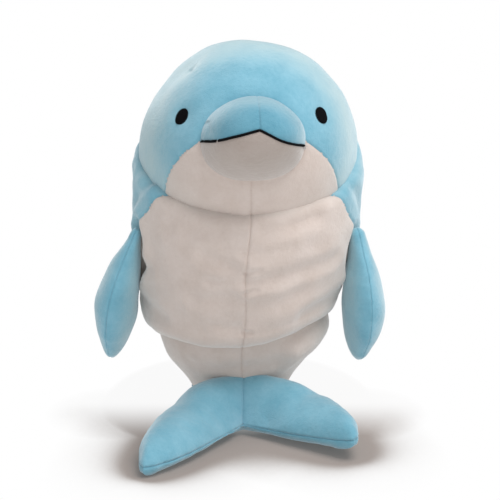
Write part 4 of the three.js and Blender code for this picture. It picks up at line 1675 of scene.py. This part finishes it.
def pile_group() -> bpy.types.NodeTree:
    """The relief and mottling of short pile, from fibre tips to brushed patches.

    Returns:
        A node group with the pile's Height, and its Patches from 0 to 1.
    """
    tree = bpy.data.node_groups.new("short_pile", "ShaderNodeTree")
    tree.interface.new_socket(name="Vector", in_out="INPUT", socket_type="NodeSocketVector")
    for name, scale in (("Fibre", 1100.0), ("Clump", 260.0), ("Brush", 42.0)):
        made = tree.interface.new_socket(name=name, in_out="INPUT", socket_type="NodeSocketFloat")
        made.default_value = scale
    for name in ("Height", "Patches"):
        tree.interface.new_socket(name=name, in_out="OUTPUT", socket_type="NodeSocketFloat")
    graph = Graph(tree)
    source, sink = graph.add("NodeGroupInput").outputs, graph.add("NodeGroupOutput")

    def noise(scale: str, detail: float, rough: float) -> Socket:
        """One layer of noise at a named scale."""
        inputs = {"Vector": source["Vector"], "Scale": source[scale], "Detail": detail, "Roughness": rough}
        return graph.add("ShaderNodeTexNoise", inputs).outputs["Fac"]

    def combine(first: Socket, second: Socket, share: float) -> Socket:
        """The first layer plus a share of the second."""
        return graph.add("ShaderNodeMath", {0: second, 1: share, 2: first}, operation="MULTIPLY_ADD").outputs[0]

    fibre, clump, brush = noise("Fibre", 2.0, 0.6), noise("Clump", 3.0, 0.6), noise("Brush", 3.0, 0.5)
    mottling = combine(brush, combine(clump, fibre, 0.6), 0.5)
    spread = graph.add("ShaderNodeMapRange", {"Value": mottling, "From Min": 0.62, "From Max": 1.18})
    graph.feed(sink, {"Height": combine(clump, fibre, 0.8), "Patches": spread.outputs["Result"]})
    return tree


@dataclass(frozen=True)
class Pile:
    """The finish of short-pile plush.

    Attributes:
        slot: the record's slot.
        pressed: its colour where the pile lies down.
        raised: its colour where the pile stands.
        seam_shade_colour: its colour deep in a seam, painted shade in the groove.
        painted_sheen_colour: its colour under painted sheen, pale where the surface turns away from the front.
        painted_shade_tint: what multiplies its colour where painted shade darkens it.
        sheen: how strongly the fibre tips catch light at a glancing angle.
        relief: depth of the pile's relief.
    """

    slot: Slot
    pressed: Triple
    raised: Triple
    seam_shade_colour: Triple
    painted_sheen_colour: Triple
    painted_shade_tint: Triple = (0.66, 0.66, 0.66)
    sheen: float = 0.85
    relief: float = 0.55 * MM

    def material(self, pile: bpy.types.NodeTree) -> bpy.types.Material:
        """The finished material.

        Args:
            pile: the group that gives short pile its relief and patches.

        Returns:
            The material.
        """
        made, graph, shader = new_material(self.slot.value)
        place = graph.add("ShaderNodeTexCoord").outputs["Object"]
        short = graph.add("ShaderNodeGroup", {"Vector": place}, node_tree=pile).outputs

        def mask(name: str) -> Socket:
            """A mask that the pieces carry."""
            return graph.add("ShaderNodeAttribute", attribute_name=name).outputs["Fac"]

        def laid(under: object, colour: Triple, share: Socket, way: str = "MIX") -> Socket:
            """A colour laid over what is under it."""
            inputs = {"Factor": share, "A": under, "B": (*colour, 1)}
            return graph.add("ShaderNodeMix", inputs, data_type="RGBA", blend_type=way).outputs["Result"]

        # Painted sheen: a pale colour laid where the surface turns away from the front, broken up by the pile's
        # patches.
        uneven = graph.add("ShaderNodeMapRange", {"Value": short["Patches"], "To Min": 0.6, "To Max": 1.15})
        factors = {0: mask("frost"), 1: uneven.outputs["Result"]}
        painted_sheen_share = graph.add("ShaderNodeMath", factors, operation="MULTIPLY", use_clamp=True)
        colour = laid((*self.pressed, 1), self.raised, short["Patches"])
        colour = laid(colour, self.painted_sheen_colour, painted_sheen_share.outputs["Value"])
        # Painted shade: a darker colour laid into the seams' grooves.
        colour = laid(colour, self.seam_shade_colour, mask("seam"))
        finish = {
            # Painted shade: the colour multiplied darker by the piece's shade mask, on the snout and chin.
            "Base Color": laid(colour, self.painted_shade_tint, mask("nap"), "MULTIPLY"),
            "Roughness": 0.92,
            "Specular IOR Level": 0.2,
            "Sheen Weight": self.sheen,
            "Sheen Roughness": 0.5,
            "Sheen Tint": (*[mix(c, 1.0, 0.75) for c in self.raised], 1),
            "Normal": graph.bump(short["Height"], self.relief, 0.9),
        }
        graph.feed(shader, finish)
        return made


@dataclass(frozen=True)
class Thread:
    """The finish of embroidery thread: smooth twisted filament with a soft gloss."""

    slot: Slot
    colour: Triple

    def material(self) -> bpy.types.Material:
        """The finished material.

        Returns:
            The material.
        """
        made, graph, shader = new_material(self.slot.value)
        place = graph.add("ShaderNodeTexCoord").outputs["Object"]
        twist = graph.add("ShaderNodeTexNoise", {"Vector": place, "Scale": 2600.0}).outputs["Fac"]
        rough = graph.add("ShaderNodeMapRange", {"Value": twist, "To Min": 0.42, "To Max": 0.68})
        finish = {
            "Base Color": (*self.colour, 1),
            "Roughness": rough.outputs["Result"],
            "Specular IOR Level": 0.02,
            "Normal": graph.bump(twist, 0.12 * MM),
        }
        graph.feed(shader, finish)
        return made


def finishes() -> dict[Slot, bpy.types.Material]:
    """Every finish of the toy.

    Returns:
        The materials, by their slots.
    """
    # Painted colours: the seam colour is painted shade in the grooves, the pale colour is painted sheen where a
    # surface turns from the front, and the multiplier is painted shade on the snout and chin.
    piles = (
        Pile(
            Slot.BLUE,
            pressed=(0.130, 0.362, 0.474),
            raised=(0.220, 0.465, 0.578),
            seam_shade_colour=(0.09, 0.26, 0.35),
            painted_sheen_colour=(0.33, 0.49, 0.525),
            painted_shade_tint=(0.64, 0.76, 0.79),
        ),
        Pile(
            Slot.CREAM,
            pressed=(0.565, 0.475, 0.425),
            raised=(0.64, 0.555, 0.51),
            seam_shade_colour=(0.44, 0.33, 0.28),
            painted_sheen_colour=(0.57, 0.53, 0.49),
            painted_shade_tint=(0.66, 0.65, 0.64),
        ),
        Pile(
            Slot.FILLING,
            pressed=(0.72, 0.71, 0.69),
            raised=(0.82, 0.81, 0.79),
            seam_shade_colour=(0.6, 0.6, 0.58),
            painted_sheen_colour=(0.8, 0.8, 0.8),
        ),
    )
    group = pile_group()
    made = {pile.slot: pile.material(group) for pile in piles}
    made[Slot.THREAD] = Thread(Slot.THREAD, (0.006, 0.006, 0.007)).material()
    return made


# The studio


@dataclass(frozen=True)
class Lamp:
    """A square soft white light that faces the toy."""

    name: str
    place: Vector
    size: float
    power: float

    def build(self, target: Vector) -> None:
        """Puts the light in the scene.

        Args:
            target: what it faces.
        """
        data = bpy.data.lights.new(self.name, "AREA")
        data.size = self.size
        data.energy = self.power
        light = bpy.data.objects.new(self.name, data)
        light.location = self.place
        light.rotation_euler = (self.place - target).to_track_quat("Z", "Y").to_euler()
        bpy.context.scene.collection.objects.link(light)


@dataclass
class Studio:
    """The pale floor, the soft lights and the camera.

    Attributes:
        target: what the camera and the lights look at.
        distance: the camera's distance from it.
        elevation: how far down the camera looks.
        focal: its focal length, in millimetres of a 36 mm sensor.
        floor_size: the floor's width.
        floor_colour: its colour in shadow.
        shadow_reach: how far from the toy it takes light from the floor.
        shadow_fade: how open the floor is where the shadow is full and where it ends.
        shadow_depth: how much of the floor's glow is left in full shadow.
        behind: Y places between which the shadow gives way to the floor's glow.
        behind_glow: the share of the glow behind the toy.
        lamps: the lights: a large one overhead, and weaker ones in front and behind.
        room_colour: the colour of the light from all sides.
        room_light: its strength.
    """

    target: Vector
    distance: float = 1.55
    elevation: float = math.radians(15.5)
    focal: float = 111.6
    floor_size: float = 24.0
    floor_colour: Triple = (0.30, 0.25, 0.225)
    shadow_reach: float = 90 * MM
    shadow_fade: tuple[float, float] = (0.84, 1.0)
    shadow_depth: float = 0.08
    behind: tuple[float, float] = (-95 * MM, 20 * MM)
    behind_glow: float = 0.94
    lamps: tuple[Lamp, ...] = (
        Lamp("key", Vector((0.62, -0.32, 1.85)), 1.2, 28.0),
        Lamp("front", Vector((0.35, -2.2, 0.5)), 1.4, 10.5),
        Lamp("back", Vector((-0.2, 1.5, 1.5)), 1.2, 11.0),
    )
    room_colour: Triple = (0.97, 0.985, 1.0)
    room_light: float = 0.45

    def build_camera(self) -> None:
        """A camera that looks down at the toy from the front."""
        data = bpy.data.cameras.new("camera")
        data.lens = self.focal
        data.sensor_width = 36
        data.clip_end = 60
        camera = bpy.data.objects.new("camera", data)
        back = Vector((0, -math.cos(self.elevation), math.sin(self.elevation)))
        camera.location = self.target + back * self.distance
        camera.rotation_euler = back.to_track_quat("Z", "Y").to_euler()
        bpy.context.scene.collection.objects.link(camera)
        bpy.context.scene.camera = camera

    def build_floor(self) -> None:
        """A white floor with a soft shadow where the toy keeps the light from it."""
        bm = bmesh.new()
        bmesh.ops.create_grid(bm, x_segments=1, y_segments=1, size=self.floor_size / 2)
        floor = to_object("floor", bm)
        made, graph, shader = new_material("studio_floor")
        graph.feed(shader, {"Base Color": (*self.floor_colour, 1), "Roughness": 0.9, "Specular IOR Level": 0.1})

        def fade(value: Socket, limits: tuple[float, float], **to: float) -> Socket:
            """A soft step between two limits."""
            inputs = {"Value": value, "From Min": limits[0], "From Max": limits[1]}
            inputs.update({f"To {end.title()}": level for end, level in to.items()})
            return graph.add("ShaderNodeMapRange", inputs, interpolation_type="SMOOTHSTEP").outputs["Result"]

        openness = graph.add("ShaderNodeAmbientOcclusion", {"Distance": self.shadow_reach}, samples=48)
        place = graph.add("ShaderNodeTexCoord").outputs["Object"]
        split = graph.add("ShaderNodeSeparateXYZ", {"Vector": place})
        near = fade(openness.outputs["AO"], self.shadow_fade, min=self.shadow_depth)
        behind = fade(split.outputs["Y"], self.behind, max=self.behind_glow)
        share = graph.add("ShaderNodeMath", {0: near, 1: behind}, operation="MAXIMUM").outputs["Value"]
        glow = graph.add("ShaderNodeEmission", {"Color": WHITE}).outputs["Emission"]
        join = graph.add("ShaderNodeMixShader", {"Fac": share, 1: shader.outputs["BSDF"], 2: glow})
        graph.feed(made.node_tree.nodes["Material Output"], {"Surface": join.outputs["Shader"]})
        floor.data.materials.append(made)

    def build_lights(self) -> None:
        """The lamps and a white room."""
        for lamp in self.lamps:
            lamp.build(self.target)
        world = bpy.data.worlds.new("white_room")
        world.use_nodes = True
        graph, nodes = Graph(world.node_tree), world.node_tree.nodes
        room = nodes["Background"]
        graph.feed(room, {"Color": (*self.room_colour, 1), "Strength": self.room_light})
        seen = graph.add("ShaderNodeBackground", {"Color": WHITE}).outputs["Background"]
        path = graph.add("ShaderNodeLightPath").outputs["Is Camera Ray"]
        join = graph.add("ShaderNodeMixShader", {"Fac": path, 1: room.outputs["Background"], 2: seen})
        graph.feed(nodes["World Output"], {"Surface": join.outputs["Shader"]})
        bpy.context.scene.world = world
        bpy.context.scene.view_settings.view_transform = "Standard"

    def build(self) -> None:
        """Sets up the whole studio."""
        self.build_camera()
        self.build_floor()
        self.build_lights()


def main() -> None:
    """Builds the studio and every piece of the toy."""
    logging.basicConfig(level=logging.INFO, format="%(name)s %(message)s")
    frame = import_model()
    joints = {joint["name"]: joint for joint in frame["joints"]}
    places = {name: Vector(joint["pos_m"]) for name, joint in joints.items()}
    neck = places["neck_nod"]
    foot = Vector((neck.x, neck.y - Trunk.lean, 0))
    Studio(foot + Vector((1.5 * MM, 0, 165 * MM))).build()
    wardrobe = Wardrobe(finishes())
    head = Head(neck)
    Trunk(foot, neck, head.radius).build(wardrobe)
    head.build(wardrobe)
    Flipper(places["flipper_right_lift"], -1).build(wardrobe)
    Flipper(places["flipper_left_lift"], 1).build(wardrobe)
    Fin(places["fin_flop"], Vector(joints["fin_flop"]["axis"])).build(wardrobe)
    Tail(places["tail_lift"]).build(wardrobe)
    bpy.context.view_layer.update()


if __name__ == "__main__":
    main()
